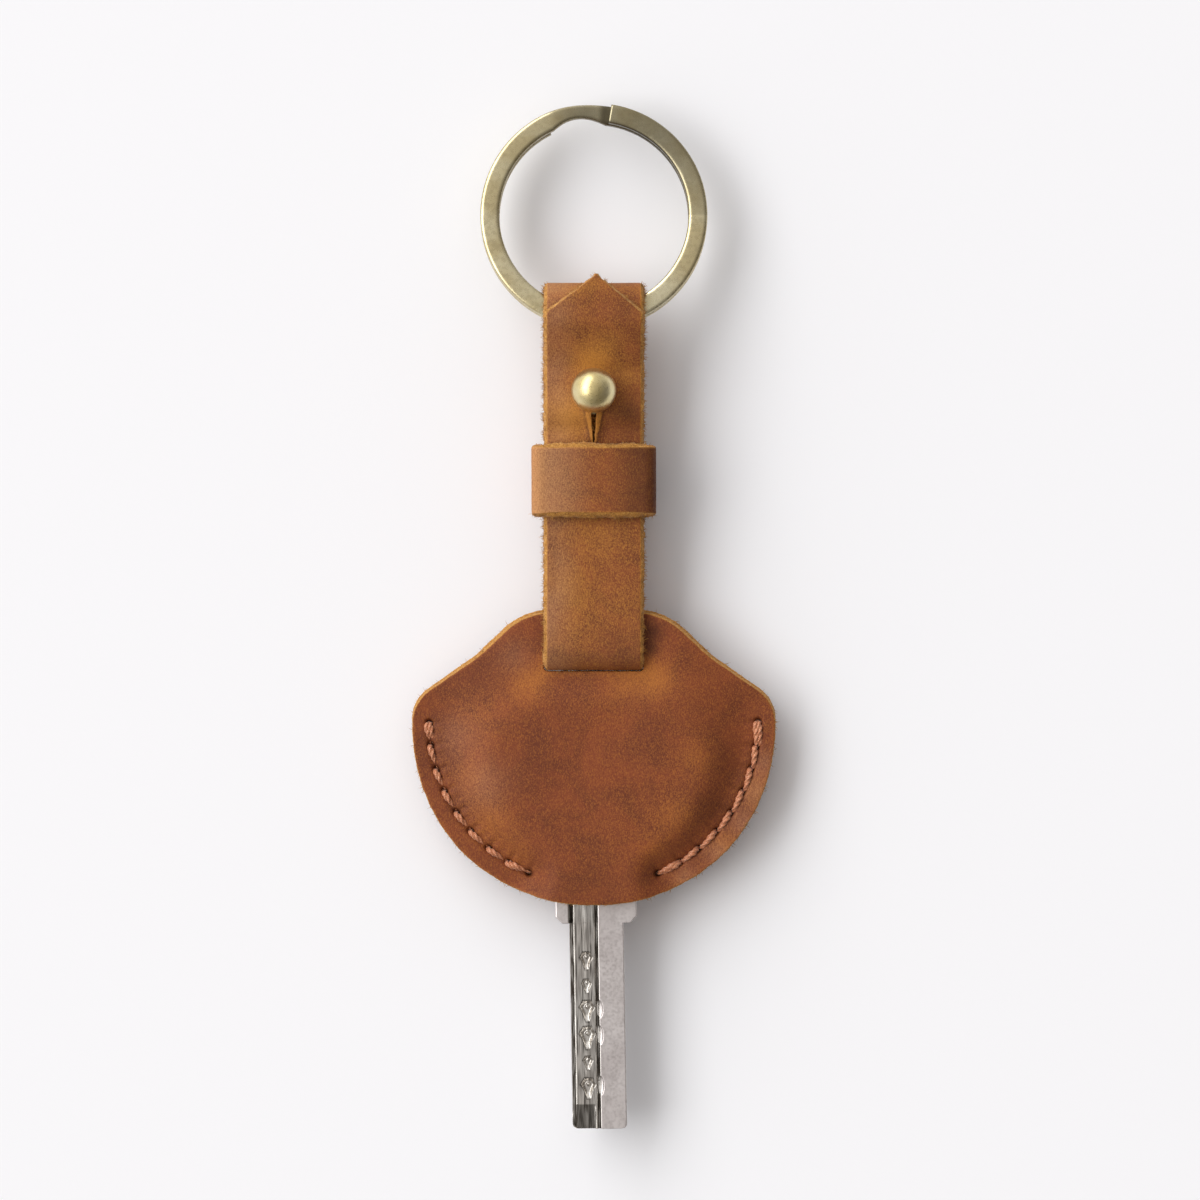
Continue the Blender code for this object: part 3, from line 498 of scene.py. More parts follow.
@dataclass(frozen=True)
class PullUpLeather:
    """Waxed full-grain cowhide. The wax leaves it matt and a deep red-brown, with a fine grain,
    and it pales to golden tan wherever it is bent or rubbed. Its pores have their real size.
    Painted shade and a painted sheen are mixed into its colour where the pieces mark them."""

    name: str = "waxed_pull_up_cowhide"
    deep: str = "#6C3723"
    body: str = "#834328"
    rubbed: str = "#B06C30"
    pore_and_shade: str = "#2A130A"
    sheen_tone: str = "#C09678"
    grain_mm: float = 0.17
    mark_mm: tuple = (0.11, 0.30, 0.2)
    mark_turns: tuple = (math.radians(38), math.radians(-47))
    mark_share: float = 0.55
    lie_mm: float = 2.2
    mottle_mm: float = 6.0
    patch_ratio: float = 1.7
    crease_mm: float = 1.1
    patchiness: float = 0.08
    # What the grain's height does to the tan specks, the painted sheen, the dark pores and the
    # roughness: the heights between which it works, and the value at each of them.
    grain_effects: tuple = (
        (0.44, 0.61, -0.2184, 0.52), (0.42, 0.60, 0.6, 1.1), (0.36, 0.47, 0.20, 0.0),
        (0.3, 0.7, 0.70, 0.56),
    )
    bump_mm: float = 0.05
    grain_bump: float = 0.55
    crease_bump: float = 0.16
    shine: float = 0.18

    def material(self) -> Material:
        """Builds the material.

        Returns:
            A material that reads the pull attribute, and the attributes of painted shade and
            painted sheen.
        """
        material, tree, shader = new_surface(self.name)
        place = add(tree, "ShaderNodeTexCoord").outputs["Object"]
        pull, shade, painted_sheen = (
            add(tree, "ShaderNodeAttribute", attribute_name=name).outputs["Fac"]
            for name in ("pull", "shade", "painted_sheen")
        )
        pores, lie, mottle, patch = (
            add(
                tree, "ShaderNodeTexNoise",
                {"Vector": place, "Scale": per(size), "Detail": detail, "Roughness": tangle,
                 "Distortion": bend},
            ).outputs["Fac"]
            for size, detail, tangle, bend in (
                (self.grain_mm, 3.0, 0.7, 0.0), (self.lie_mm, 2.0, 0.5, 0.0),
                (self.mottle_mm, 4.0, 0.62, 0.6),
                (self.mottle_mm * self.patch_ratio, 2.0, 0.5, 0.0),
            )
        )
        marks = []
        for turn in self.mark_turns:
            turned = add(
                tree, "ShaderNodeMapping",
                {"Vector": place, "Rotation": (0.0, 0.0, turn),
                 "Scale": tuple(per(size) for size in self.mark_mm)},
            ).outputs["Vector"]
            marks.append(add(
                tree, "ShaderNodeTexNoise",
                {"Vector": turned, "Scale": 1.0, "Detail": 1.5, "Distortion": 0.8},
            ).outputs["Fac"])
        crease = add(
            tree, "ShaderNodeTexVoronoi",
            {"Vector": place, "Scale": per(self.crease_mm), "Randomness": 1.0},
            feature="DISTANCE_TO_EDGE",
        ).outputs["Distance"]
        lying, mottled, patchy, wrinkle = (
            add(
                tree, "ShaderNodeMapRange",
                {"Value": height, "From Min": low, "From Max": high, "To Max": most},
            ).outputs["Result"]
            for height, low, high, most in (
                (lie, 0.42, 0.58, 1.0), (mottle, 0.36, 0.64, 1.0),
                (patch, 0.44, 0.72, self.patchiness), (crease, 0.0, 0.12, 1.0),
            )
        )
        marked = add(
            tree, "ShaderNodeMix", {0: lying, 2: marks[0], 3: marks[1]}, data_type="FLOAT"
        ).outputs[0]
        grain = add(
            tree, "ShaderNodeMix", {0: self.mark_share, 2: pores, 3: marked}, data_type="FLOAT"
        ).outputs[0]
        speck, sheen_by_grain, pore, gloss = (
            add(
                tree, "ShaderNodeMapRange",
                {"Value": grain, "From Min": low, "From Max": high, "To Min": start,
                 "To Max": end},
            ).outputs["Result"]
            for low, high, start, end in self.grain_effects
        )
        paled = add(tree, "ShaderNodeMath", {0: pull, 1: patchy}, operation="ADD").outputs[0]
        tan, depth = (
            add(
                tree, "ShaderNodeMath", {0: base, 1: extra}, operation="ADD", use_clamp=True
            ).outputs[0]
            for base, extra in ((paled, speck), (shade, pore))
        )
        # A pale painted sheen, broken up by the grain, where the pieces mark it.
        sheen_share = add(
            tree, "ShaderNodeMath", {0: painted_sheen, 1: sheen_by_grain}, operation="MULTIPLY"
        ).outputs[0]
        # Painted shade takes the dark tone of the pores.
        colour = linear(self.deep)
        for share, over in (
            (mottled, self.body), (tan, self.rubbed), (sheen_share, self.sheen_tone), (depth, self.pore_and_shade)
        ):
            colour = add(
                tree, "ShaderNodeMix", {0: share, 6: colour, 7: linear(over)}, data_type="RGBA"
            ).outputs[2]
        bump = {"Distance": self.bump_mm * MM}
        fine = add(
            tree, "ShaderNodeBump", {"Height": grain, "Strength": self.grain_bump, **bump}
        ).outputs["Normal"]
        creased = add(
            tree, "ShaderNodeBump",
            {"Height": wrinkle, "Strength": self.crease_bump, "Normal": fine, **bump},
        ).outputs["Normal"]
        plug(shader, {
            "Base Color": colour, "Roughness": gloss, "Normal": creased,
            "Specular IOR Level": self.shine,
        })
        return material


@dataclass(frozen=True)
class Fibrous:
    """A soft stuff of fine fibres, which colour it and roughen it alike. The fibres are drawn
    coarser than real ones, which are too fine to show."""

    name: str
    tones: tuple
    fibre_mm: float
    detail: float
    tangle: float
    bend: float
    bump: float
    bump_mm: float
    roughness: float
    sheen: float

    def material(self) -> Material:
        """Builds the material.

        Returns:
            A material whose tone and relief follow its fibres.
        """
        material, tree, shader = new_surface(self.name)
        place = add(tree, "ShaderNodeTexCoord").outputs["Object"]
        fibre = add(
            tree, "ShaderNodeTexNoise",
            {"Vector": place, "Scale": per(self.fibre_mm), "Detail": self.detail,
             "Roughness": self.tangle, "Distortion": self.bend},
        ).outputs["Fac"]
        colour = add(tree, "ShaderNodeValToRGB", {"Fac": fibre}, stops=self.tones)
        bump = add(
            tree, "ShaderNodeBump",
            {"Height": fibre, "Strength": self.bump, "Distance": self.bump_mm * MM},
        )
        plug(shader, {
            "Base Color": colour.outputs["Color"], "Normal": bump.outputs["Normal"],
            "Roughness": self.roughness, "Sheen Weight": self.sheen,
        })
        return material


@dataclass(frozen=True)
class PlatedMetal:
    """A metal surface: its colour, how far it is brushed, and its scratches, which are drawn
    coarser than real ones so that they show."""

    name: str
    body: str
    worn: str
    roughness: float
    brush_mm: tuple = (0.12, 0.12, 0.12)
    scratch: float = 0.3
    cloud_mm: float = 4.0
    # The tone of the scratches, and of the painted shade and marks that the shade attribute
    # carries.
    groove: str = "#4A4334"
    smoother: float = 0.07
    rougher: float = 0.09
    bump: float = 0.25
    bump_mm: float = 0.02

    def material(self) -> Material:
        """Builds the material.

        Returns:
            A metal whose tone and gloss vary finely, and which takes its groove tone where the
            shade attribute paints shade and dark marks.
        """
        material, tree, shader = new_surface(self.name)
        place = add(tree, "ShaderNodeTexCoord").outputs["Object"]
        shade = add(tree, "ShaderNodeAttribute", attribute_name="shade").outputs["Fac"]
        stretched = add(
            tree, "ShaderNodeMapping",
            {"Vector": place, "Scale": tuple(per(size) for size in self.brush_mm)},
        ).outputs["Vector"]
        brushing, cloud = (
            add(
                tree, "ShaderNodeTexNoise", {"Vector": spot, "Scale": scale, "Detail": 3.0}
            ).outputs["Fac"]
            for spot, scale in ((stretched, 1.0), (place, per(self.cloud_mm)))
        )
        clouded, line, gloss = (
            add(
                tree, "ShaderNodeMapRange",
                {"Value": height, "From Min": low, "From Max": high, "To Min": start,
                 "To Max": end},
            ).outputs["Result"]
            for height, low, high, start, end in (
                (cloud, 0.38, 0.66, 0.0, 1.0), (brushing, 0.3, 0.55, self.scratch, 0.0),
                (brushing, 0.3, 0.7, self.roughness - self.smoother,
                 self.roughness + self.rougher),
            )
        )
        # The scratches and the shade attribute's painted shade and marks take the groove tone.
        depth = add(tree, "ShaderNodeMath", {0: line, 1: shade}, operation="MAXIMUM").outputs[0]
        colour = linear(self.body)
        for share, over in ((clouded, self.worn), (depth, self.groove)):
            colour = add(
                tree, "ShaderNodeMix", {0: share, 6: colour, 7: linear(over)}, data_type="RGBA"
            ).outputs[2]
        bump = add(
            tree, "ShaderNodeBump",
            {"Height": brushing, "Strength": self.bump, "Distance": self.bump_mm * MM},
        )
        plug(shader, {
            "Base Color": colour, "Roughness": gloss, "Normal": bump.outputs["Normal"],
            "Metallic": 1.0,
        })
        return material


# The same waxed hide where it is handled most: redder wax worn thin, with more gold in it.
GOLDEN_STRAP = PullUpLeather(
    "waxed_golden_strap_hide", "#733F25", "#8A4C2B", "#BE8038", mottle_mm=4.5
)
# The cut edge and the flesh side of the hide: pale golden fibres with no finish, quite matt.
RAW_HIDE = Fibrous(
    "raw_cut_hide", ((0.34, "#7A4714"), (0.5, "#B97F32"), (0.68, "#DFAC5C")),
    fibre_mm=0.22, detail=4.0, tangle=0.75, bend=1.2, bump=0.9, bump_mm=0.12,
    roughness=0.92, sheen=0.10,
)
# Twisted polyester sewing thread, waxed: copper-pink, with a silky shine on each ply.
WAXED_THREAD = Fibrous(
    "waxed_polyester_thread", ((0.3, "#93492A"), (0.5, "#C2774C"), (0.72, "#E3B08C")),
    fibre_mm=0.12, detail=2.0, tangle=0.5, bend=0.0, bump=0.4, bump_mm=0.03,
    roughness=0.34, sheen=0.3,
)
# Steel wire plated in antique brass and tumbled: pale gold and softly clouded, with painted shade
# and darker marks from the shade attribute.
ANTIQUE_BRASS = PlatedMetal(
    "antique_brass_plate", "#C6B78E", "#DCD2B0", 0.27, brush_mm=(0.6, 0.6, 0.6), scratch=0.10,
    cloud_mm=6.0,
)
# Solid brass turned on a lathe and satin finished: faint rings round its axis.
SATIN_BRASS = PlatedMetal(
    "satin_turned_brass", "#D9C68E", "#E6D9AE", 0.32, brush_mm=(0.5, 0.5, 0.06), scratch=0.10
)
# Nickel-silver blank, worn by hands: greyish white, with no direction in its scratches.
NICKEL = PlatedMetal(
    "worn_nickel_plate", "#DED7D5", "#D0C8C6", 0.42, brush_mm=(0.35, 0.35, 0.35), scratch=0.14
)
# The same metal where it is milled: bright, with the cutter's lines along the blade; its dark
# groove tone also gives painted shade and a painted dark reflection.
MILLED_NICKEL = PlatedMetal(
    "milled_nickel_silver", "#CFC9C2", "#DEDAD4", 0.26, brush_mm=(0.13, 4.0, 0.4), scratch=0.45,
    groove="#3E3832",
)


@dataclass
class Finishes:
    """Every material, made once."""

    grain: Material = field(default_factory=PullUpLeather().material)
    strap: Material = field(default_factory=GOLDEN_STRAP.material)
    raw: Material = field(default_factory=RAW_HIDE.material)
    thread: Material = field(default_factory=WAXED_THREAD.material)
    ring: Material = field(default_factory=ANTIQUE_BRASS.material)
    stud: Material = field(default_factory=SATIN_BRASS.material)
    nickel: Material = field(default_factory=NICKEL.material)
    milled: Material = field(default_factory=MILLED_NICKEL.material)


def new_tree(name: str, inputs: dict[str, str]) -> tuple[GeometryNodeTree, Sequence]:
    """A geometry node tree that takes and gives a geometry.

    Args:
        name: The tree's name.
        inputs: The kind of socket of each further input, by the input's name.

    Returns:
        The tree and the sockets that its inputs come out of.
    """
    tree = bpy.data.node_groups.new(name, "GeometryNodeTree")
    for label, kind in {"Geometry": "Geometry", **inputs}.items():
        tree.interface.new_socket(label, in_out="INPUT", socket_type="NodeSocket" + kind)
    tree.interface.new_socket("Geometry", in_out="OUTPUT", socket_type="NodeSocketGeometry")
    return tree, add(tree, "NodeGroupInput").outputs


def end_tree(made: NodeSocket, material: NodeSocket) -> None:
    """Ends a tree with what it has made, as a plain mesh of one material.

    Args:
        made: The socket that the tree's geometry comes out of.
        material: The socket that the material comes out of.
    """
    tree = made.id_data
    plain = add(tree, "GeometryNodeRealizeInstances", {"Geometry": made})
    coloured = add(
        tree, "GeometryNodeSetMaterial",
        {"Geometry": plain.outputs["Geometry"], "Material": material},
    )
    add(tree, "NodeGroupOutput", {"Geometry": coloured.outputs["Geometry"]})


def grown(
    name: str, data: ID, tree: GeometryNodeTree, values: dict
) -> Object:
    """What a geometry node tree makes of a mesh or a curve.

    Args:
        name: The new object's name.
        data: The mesh or the curve.
        tree: The tree.
        values: The values of the tree's inputs, by their names.

    Returns:
        An object with a plain mesh and no modifier.
    """
    carrier = shown(name + "_carrier", data)
    made = carrier.modifiers.new(tree.name, "NODES")
    made.node_group = tree
    for item in tree.interface.items_tree:
        if item.name in values:
            made[item.identifier] = values[item.name]
    mesh = worked_out(carrier)
    bpy.data.objects.remove(carrier, do_unlink=True)
    return shown(name, mesh)


def fibre_tree() -> GeometryNodeTree:
    """Geometry nodes that grow short bent fibres where a mesh is marked as frayed.

    Returns:
        A tree with inputs for the mesh, the density, the size, the seed and the material.
    """
    tree, given = new_tree("frayed_fibres", {
        "Fibres per square metre": "Float", "Length": "Float", "Thickness": "Float",
        "Seed": "Int", "Material": "Material",
    })
    fray = add(tree, "GeometryNodeInputNamedAttribute", {"Name": "fray"}, data_type="FLOAT")
    density = add(
        tree, "ShaderNodeMath",
        {0: fray.outputs["Attribute"], 1: given["Fibres per square metre"]}, operation="MULTIPLY",
    )
    spread = add(
        tree, "GeometryNodeDistributePointsOnFaces",
        {"Mesh": given["Geometry"], "Density": density.outputs[0], "Seed": given["Seed"]},
    )
    bend = add(
        tree, "GeometryNodeCurveQuadraticBezier",
        {"Resolution": 4, "Start": (0, 0, -0.1), "Middle": (0.05, 0.02, 0.55),
         "End": (0.42, 0.12, 0.95)},
    )
    along = add(tree, "GeometryNodeSplineParameter")
    fine = add(
        tree, "ShaderNodeMapRange",
        {"Value": along.outputs["Factor"], "To Min": given["Thickness"], "To Max": 0.0},
    )
    profile = add(tree, "GeometryNodeCurvePrimitiveCircle", {"Resolution": 3, "Radius": 1.0})
    hair = add(
        tree, "GeometryNodeCurveToMesh",
        {"Curve": bend.outputs["Curve"], "Profile Curve": profile.outputs["Curve"],
         "Scale": fine.outputs["Result"]},
    )
    lean = add(
        tree, "FunctionNodeRandomValue",
        {0: (-1.0, -1.0, -math.pi), 1: (1.0, 1.0, math.pi), "Seed": given["Seed"]},
        data_type="FLOAT_VECTOR",
    )
    turn = add(tree, "FunctionNodeEulerToRotation", {0: lean.outputs[0]})
    turned = add(
        tree, "FunctionNodeRotateRotation",
        {"Rotation": spread.outputs["Rotation"], "Rotate By": turn.outputs[0]},
        rotation_space="LOCAL",
    )
    size = add(
        tree, "FunctionNodeRandomValue", {2: 0.35, 3: 1.0, "Seed": given["Seed"]},
        data_type="FLOAT",
    )
    scale = add(
        tree, "ShaderNodeMath", {0: size.outputs[1], 1: given["Length"]}, operation="MULTIPLY"
    )
    planted = add(
        tree, "GeometryNodeInstanceOnPoints",
        {"Points": spread.outputs["Points"], "Instance": hair.outputs["Mesh"],
         "Rotation": turned.outputs[0], "Scale": scale.outputs[0]},
    )
    end_tree(planted.outputs["Instances"], given["Material"])
    return tree


@dataclass
class Fray:
    """Loose fibres that stand out of cut leather edges."""

    finishes: Finishes
    per_square_mm: float = 15.0
    length: float = 0.80
    thickness: float = 0.07
    tuft: float = 1.3
    tuft_share: float = 0.5
    tuft_gain: float = 1.6
    tree: GeometryNodeTree = field(default_factory=fibre_tree)

    def grow(
        self, source: Object, body: Body, slot: str, where: Array, seed: int
    ) -> None:
        """Grows the fibres of one piece, in uneven tufts.

        Args:
            source: The piece.
            body: The body that it rides on.
            slot: Its material slot in the record.
            where: For each point of the piece, how frayed the leather is there.
            seed: The number that the fibres' places are drawn from.
        """
        uneven = rough(points_of(source), self.tuft, float(seed))
        tufts = smooth(self.tuft_share + self.tuft_gain * uneven)
        paint(source, "fray", where * tufts**2)
        obj = grown(source.name + "_fibres", source.data.copy(), self.tree, {
            "Fibres per square metre": self.per_square_mm / MM**2, "Length": self.length * MM,
            "Thickness": self.thickness, "Seed": seed, "Material": self.finishes.raw,
        })
        settle(obj, body, slot)


@dataclass
class Pocket:
    """The two leather panels, stitched on both sides and domed over the key's bow.

    Here and below an uneven pattern is given by its width, its seed and its height, and a soft
    mark by its reach and its strength.
    """

    finishes: Finishes
    fray: Fray
    around: int = 760
    outline_step: float = 0.1
    outline_turns: int = 90
    key_room_x: float = 14.7
    key_room_y: float = 11.2
    key_room_low: float = 14.0
    key_centre_y: float = -7.5
    neck_room_x: float = 6.35
    seam_flat: float = 0.9
    bow_rise: float = 2.6
    ramp_low_y: float = 2.6
    ramp_high_y: float = 6.8
    ramp_inner_x: float = 8.2
    ramp_outer_x: float = 16.0
    grid_reach: float = 27.5
    grid_step: float = 0.25
    evening: float = 1.1
    groove_depth: float = 0.32
    groove_half: float = 0.48
    groove_end: float = 0.5
    hole_depth: float = 1.2
    hole_half_x: float = 0.40
    hole_half_y: float = 0.48
    hole_sharpness: float = 1.3
    hole_draw: float = 0.005
    hole_seed: int = 11
    pucker: tuple = (0.62, 0.07)
    pucker_line: float = -1.15
    crease_depth: float = 0.10
    crease_line: float = -0.9
    crease_half: float = 0.4
    # Painted shade in the seam's groove, its awl holes and its creases.
    seam_shade: tuple = (0.16, 0.95, 0.10)
    middle_share: float = 0.04
    middle_rings: int = 46
    edge_zone: float = 4.6
    edge_step: float = 0.16
    edge_end: float = 0.45
    edge_wall_shares: tuple = (
        (1.6, 1.0), (1.0, 0.985), (0.62, 0.93), (0.3, 0.82), (0.06, 0.66), (0.0, 0.5),
        (0.0, 0.32), (0.3, 0.14), (0.9, 0.03), (2.0, 0.0),
    )
    flesh_inset: float = 1.0
    flesh_shares: tuple = (0.985, 0.95, 0.9, 0.8, 0.65, 0.5, 0.35, 0.2, 0.05)
    bevel: float = 0.12
    shoulder_bevel: float = 0.16
    shoulder_from: float = -0.05
    shoulder_ease: float = 0.25
    ragged: float = 0.07
    ragged_mm: float = 1.4
    ragged_seed: float = 3.0
    fibre_mm: float = 0.45
    fibre_seed: float = 8.0
    unevenness: tuple = (7.0, 5.0, 0.10)
    near_wall: float = 0.6
    back_overhang: float = 0.30
    back_low_share: float = 0.15
    slot_corner: float = 0.5
    slot_step: float = 0.25
    slot_wander: tuple = (0.6, 2.0, 0.05)
    slot_cut: tuple = (-1.0, 10.0)
    edge_pull: tuple = (0.35, 0.30)
    slot_pull: tuple = (0.9, 0.35)
    edge_fray: float = 0.10
    slot_fray: float = 0.6
    slot_fray_x: float = 0.5
    slot_fray_y: float = 0.35
    fray_seed: int = 5
    # Golden patches where the leather is rubbed pale; those on the right margin, outside the seam,
    # are partly painted light.
    rubbed_places: tuple = (
        (11.5, -13.0, 3.0, 0.32), (14.5, -5.0, 3.0, 0.30), (-14.3, -14.0, 3.4, 0.40),
        (-17.5, -8.0, 3.0, 0.25), (-9.5, 5.4, 3.0, 0.45), (8.6, 6.2, 2.7, 0.66),
        (-16.0, 1.0, 3.5, 0.20), (0.0, 3.5, 4.5, 0.12), (23.5, -10.0, 2.6, 0.45),
        (18.6, -17.5, 2.6, 0.45), (12.5, -22.3, 2.2, 0.25), (-10.6, -18.5, 2.4, 0.30),
        (8.4, -18.0, 2.6, 0.25), (4.4, 5.4, 2.4, 0.34), (-7.6, 6.2, 1.6, 0.20),
    )
    # Painted sheen, on the left of the dome and along the right margin.
    sheen_places: tuple = (
        (-15.3, -8.6, 3.6, 0.15), (24.2, -6.0, 2.0, 0.20), (23.2, -10.0, 2.2, 0.26),
        (21.2, -14.4, 2.2, 0.26), (17.8, -18.6, 2.2, 0.26), (-11.0, 9.2, 2.6, 0.14),
        (13.0, -22.2, 2.0, 0.22), (-19.5, -2.0, 3.0, 0.12),
    )
    # Painted shade, mostly on the dome's right and lower slopes, and the strap's painted shadow
    # beside the slot.
    shade_places: tuple = (
        (18.5, -5.5, 2.6, 0.22), (16.0, -12.0, 2.4, 0.20), (-6.0, -23.5, 3.5, 0.16),
        (0.0, -24.0, 3.0, 0.10), (-16.0, 6.5, 3.5, 0.08), (3.0, -23.5, 4.0, 0.12),
        (8.3, 12.6, 1.6, 0.60), (8.1, 10.2, 1.1, 0.50),
    )

    def __post_init__(self) -> None:
        """Works out the outline's reach in every direction from the middle."""
        half, top = CUT.pocket_half_width, CUT.pocket_top
        shoulders = [(half * x, top * y) for x, y in CUT.shoulder_shares]
        upper = rounded([(0, top), *shoulders, (half, 0)], CUT.shoulder_radii)
        power = 2 / CUT.roundness
        quarter = np.linspace(0, math.pi / 2, self.outline_turns)[1:-1]
        lower = np.stack(
            [half * np.cos(quarter) ** power, -CUT.pocket_depth * np.sin(quarter) ** power], 1
        )
        line = evenly([*upper, *lower.tolist(), (0, -CUT.pocket_depth)], self.outline_step)
        self._turns = np.arctan2(line[:, 1], line[:, 0])[::-1]
        self._reach = np.linalg.norm(line, axis=1)[::-1]
        self.soften()

    def reach(self, x: Array, y: Array) -> Array:
        """The outline's distance from the middle, in the direction of each point."""
        return np.interp(np.arctan2(y, np.abs(x)), self._turns, self._reach)

    def bridge_share(self, x: Array, y: Array) -> Array:
        """How far both panels lift over the strap.

        Args:
            x: Places across.
            y: Places along.

        Returns:
            1 round the slot, 0 away from it.
        """
        along = (y - self.ramp_low_y) / (self.ramp_high_y - self.ramp_low_y)
        side = (self.ramp_outer_x - np.abs(x)) / (self.ramp_outer_x - self.ramp_inner_x)
        return smooth(along) * smooth(side)

    def back_level(self, x: Array, y: Array) -> Array:
        """Underside of the back panel above the table."""
        return (CUT.thick + CUT.gap) * self.bridge_share(x, y)

    def distance_to_key(self, x: Array, y: Array) -> Array:
        """Distance from the room that the key needs.

        Args:
            x: Places across.
            y: Places along.

        Returns:
            Millimetres, 0 inside that room.
        """
        room = np.where(y < self.key_centre_y, self.key_room_low, self.key_room_y)
        share = np.hypot(x / self.key_room_x, (y - self.key_centre_y) / room)
        far = np.hypot(x, y - self.key_centre_y)
        to_bow = np.where(share <= 1, 0, far * (1 - 1 / np.maximum(share, 1)))
        beside = np.maximum(np.abs(x) - self.neck_room_x, 0)
        above = np.maximum(y - self.key_centre_y, 0)
        return np.minimum(to_bow, np.hypot(beside, above))

    def distance_to_seam(self, x: Array, y: Array) -> Array:
        """Distance from the pressed margin along the seams.

        Args:
            x: Places across.
            y: Places along.

        Returns:
            Millimetres, 0 on that margin.
        """
        side = np.abs(x)
        turn = np.arctan2(-y, side)
        end = np.clip(turn, 0, CUT.seam_turn)
        along = np.maximum(CUT.seam_radius - self.seam_flat - np.hypot(side, y), 0)
        gap = np.hypot(
            side - CUT.seam_radius * np.cos(end), y + CUT.seam_radius * np.sin(end)
        )
        inside = (turn >= 0) & (turn <= CUT.seam_turn)
        return np.where(inside, along, np.maximum(gap - self.seam_flat, 0))

    def drawn_level(self, x: Array, y: Array) -> Array:
        """Underside of the front panel before the leather evens out.

        Args:
            x: Places across.
            y: Places along.

        Returns:
            Heights above the table.
        """
        to_key, to_seam = self.distance_to_key(x, y), self.distance_to_seam(x, y)
        dome = np.where(to_key == 0, 1, to_seam / np.maximum(to_seam + to_key, LEAST))
        over_key = self.bow_rise * smooth(dome) * (1 - self.bridge_share(x, y))
        return CUT.thick + CUT.gap + self.back_level(x, y) + over_key

    def soften(self) -> None:
        """Keeps the front panel's level on a grid, evened out as moulded leather is."""
        ticks = np.arange(-self.grid_reach, self.grid_reach + self.grid_step, self.grid_step)
        x, y = np.meshgrid(ticks, ticks, indexing="ij")
        level = self.drawn_level(x, y)
        spread = np.arange(-3 * self.evening, 3 * self.evening + self.grid_step, self.grid_step)
        weight = np.exp(-0.5 * (spread / self.evening) ** 2)
        weight /= weight.sum()
        half = len(spread) // 2
        for axis in (0, 1):
            padded = np.pad(level, [(half, half) if axis == k else (0, 0) for k in (0, 1)], "edge")
            level = sum(
                w * np.take(padded, np.arange(i, i + len(ticks)), axis)
                for i, w in enumerate(weight)
            )
        self._ticks, self._level = ticks, level

    def front_level(self, x: Array, y: Array) -> Array:
        """Underside of the front panel, read from the evened grid.

        Args:
            x: Places across.
            y: Places along.

        Returns:
            Heights above the table.
        """
        last = len(self._ticks) - 2
        px = (np.asarray(x) - self._ticks[0]) / self.grid_step
        py = (np.asarray(y) - self._ticks[0]) / self.grid_step
        i, j = np.clip(px, 0, last).astype(int), np.clip(py, 0, last).astype(int)
        u, v = px - i, py - j
        low = self._level[i, j] * (1 - u) + self._level[i + 1, j] * u
        high = self._level[i, j + 1] * (1 - u) + self._level[i + 1, j + 1] * u
        return low * (1 - v) + high * v

    def hole_turns(self, side: Side) -> Array:
        """Where the awl holes are, a little uneven as when sewn by hand.

        Args:
            side: Which seam.

        Returns:
            Turns below the widest line, from the top.
        """
        count = CUT.stitch_count
        draws = np.random.default_rng(self.hole_seed + side.value).uniform(
            -self.hole_draw, self.hole_draw, count + 1
        )
        return CUT.seam_turn * np.arange(count + 1) / count + draws

    def seam_detail(self, x: Array, y: Array) -> tuple[Array, Array]:
        """How the stitches shape the leather near them.

        Args:
            x: Places across.
            y: Places along.

        Returns:
            The change of height in millimetres, and the painted shade in the groove, the awl holes
            and the creases.
        """
        change, dark = np.zeros_like(x), np.zeros_like(x)
        pitch = CUT.seam_turn * CUT.seam_radius / CUT.stitch_count
        for side in Side:
            here = np.sign(x) == side.value
            turn = np.arctan2(-y, np.abs(x))
            out = np.hypot(x, y) - CUT.seam_radius
            turns = self.hole_turns(side)
            past_end = np.maximum(np.maximum(turns[0] - turn, turn - turns[-1]), 0)
            live = bell(past_end * CUT.seam_radius, self.groove_end) * here
            nearest = turns[np.abs(turn[..., None] - turns).argmin(-1)]
            along = (turn - nearest) * CUT.seam_radius
            groove = bell(out, self.groove_half)
            far = (along / self.hole_half_y) ** 2 + (out / self.hole_half_x) ** 2
            hole = np.exp(-(far**self.hole_sharpness))
            swell = 0.5 - 0.5 * np.cos(2 * math.pi * np.clip(np.abs(along) / pitch, 0, 0.5) * 2)
            inner = bell(out - self.pucker_line, *self.pucker) * swell
            crease = bell(along, self.crease_half)
            crease = crease * bell(out - self.crease_line, -self.crease_line)
            change += live * (
                inner - self.groove_depth * groove - self.hole_depth * hole
                - self.crease_depth * crease
            )
            # Painted shade in the groove, the awl holes and the creases.
            darks = zip(self.seam_shade, (groove, hole, crease))
            dark += live * sum(strength * share for strength, share in darks)
        return change, dark

    def rings(self, reach: Array, bevel: Array) -> tuple[Array, Array, int]:
        """Rings of points from the middle of a panel's grain side, round its edge and back.

        Args:
            reach: The outline's distance from the middle in each direction.
            bevel: The edge's bevel in each direction.

        Returns:
            Distances from the middle, shares of the thickness, and the edge's first ring.
        """
        middle = np.linspace(self.middle_share, 1, self.middle_rings)
        fine = np.arange(self.edge_zone, self.edge_end, -self.edge_step)[1:]
        rows = [(reach - self.edge_zone) * share for share in middle]
        rows += [reach - inset for inset in fine]
        first = len(rows)
        rows += [reach - bevel * share for share, _ in self.edge_wall_shares]
        rows += [(reach - self.flesh_inset) * share for share in self.flesh_shares]
        heights = [1.0] * first + [height for _, height in self.edge_wall_shares]
        heights += [0.0] * len(self.flesh_shares)
        return np.array(rows), np.array(heights)[:, None], first

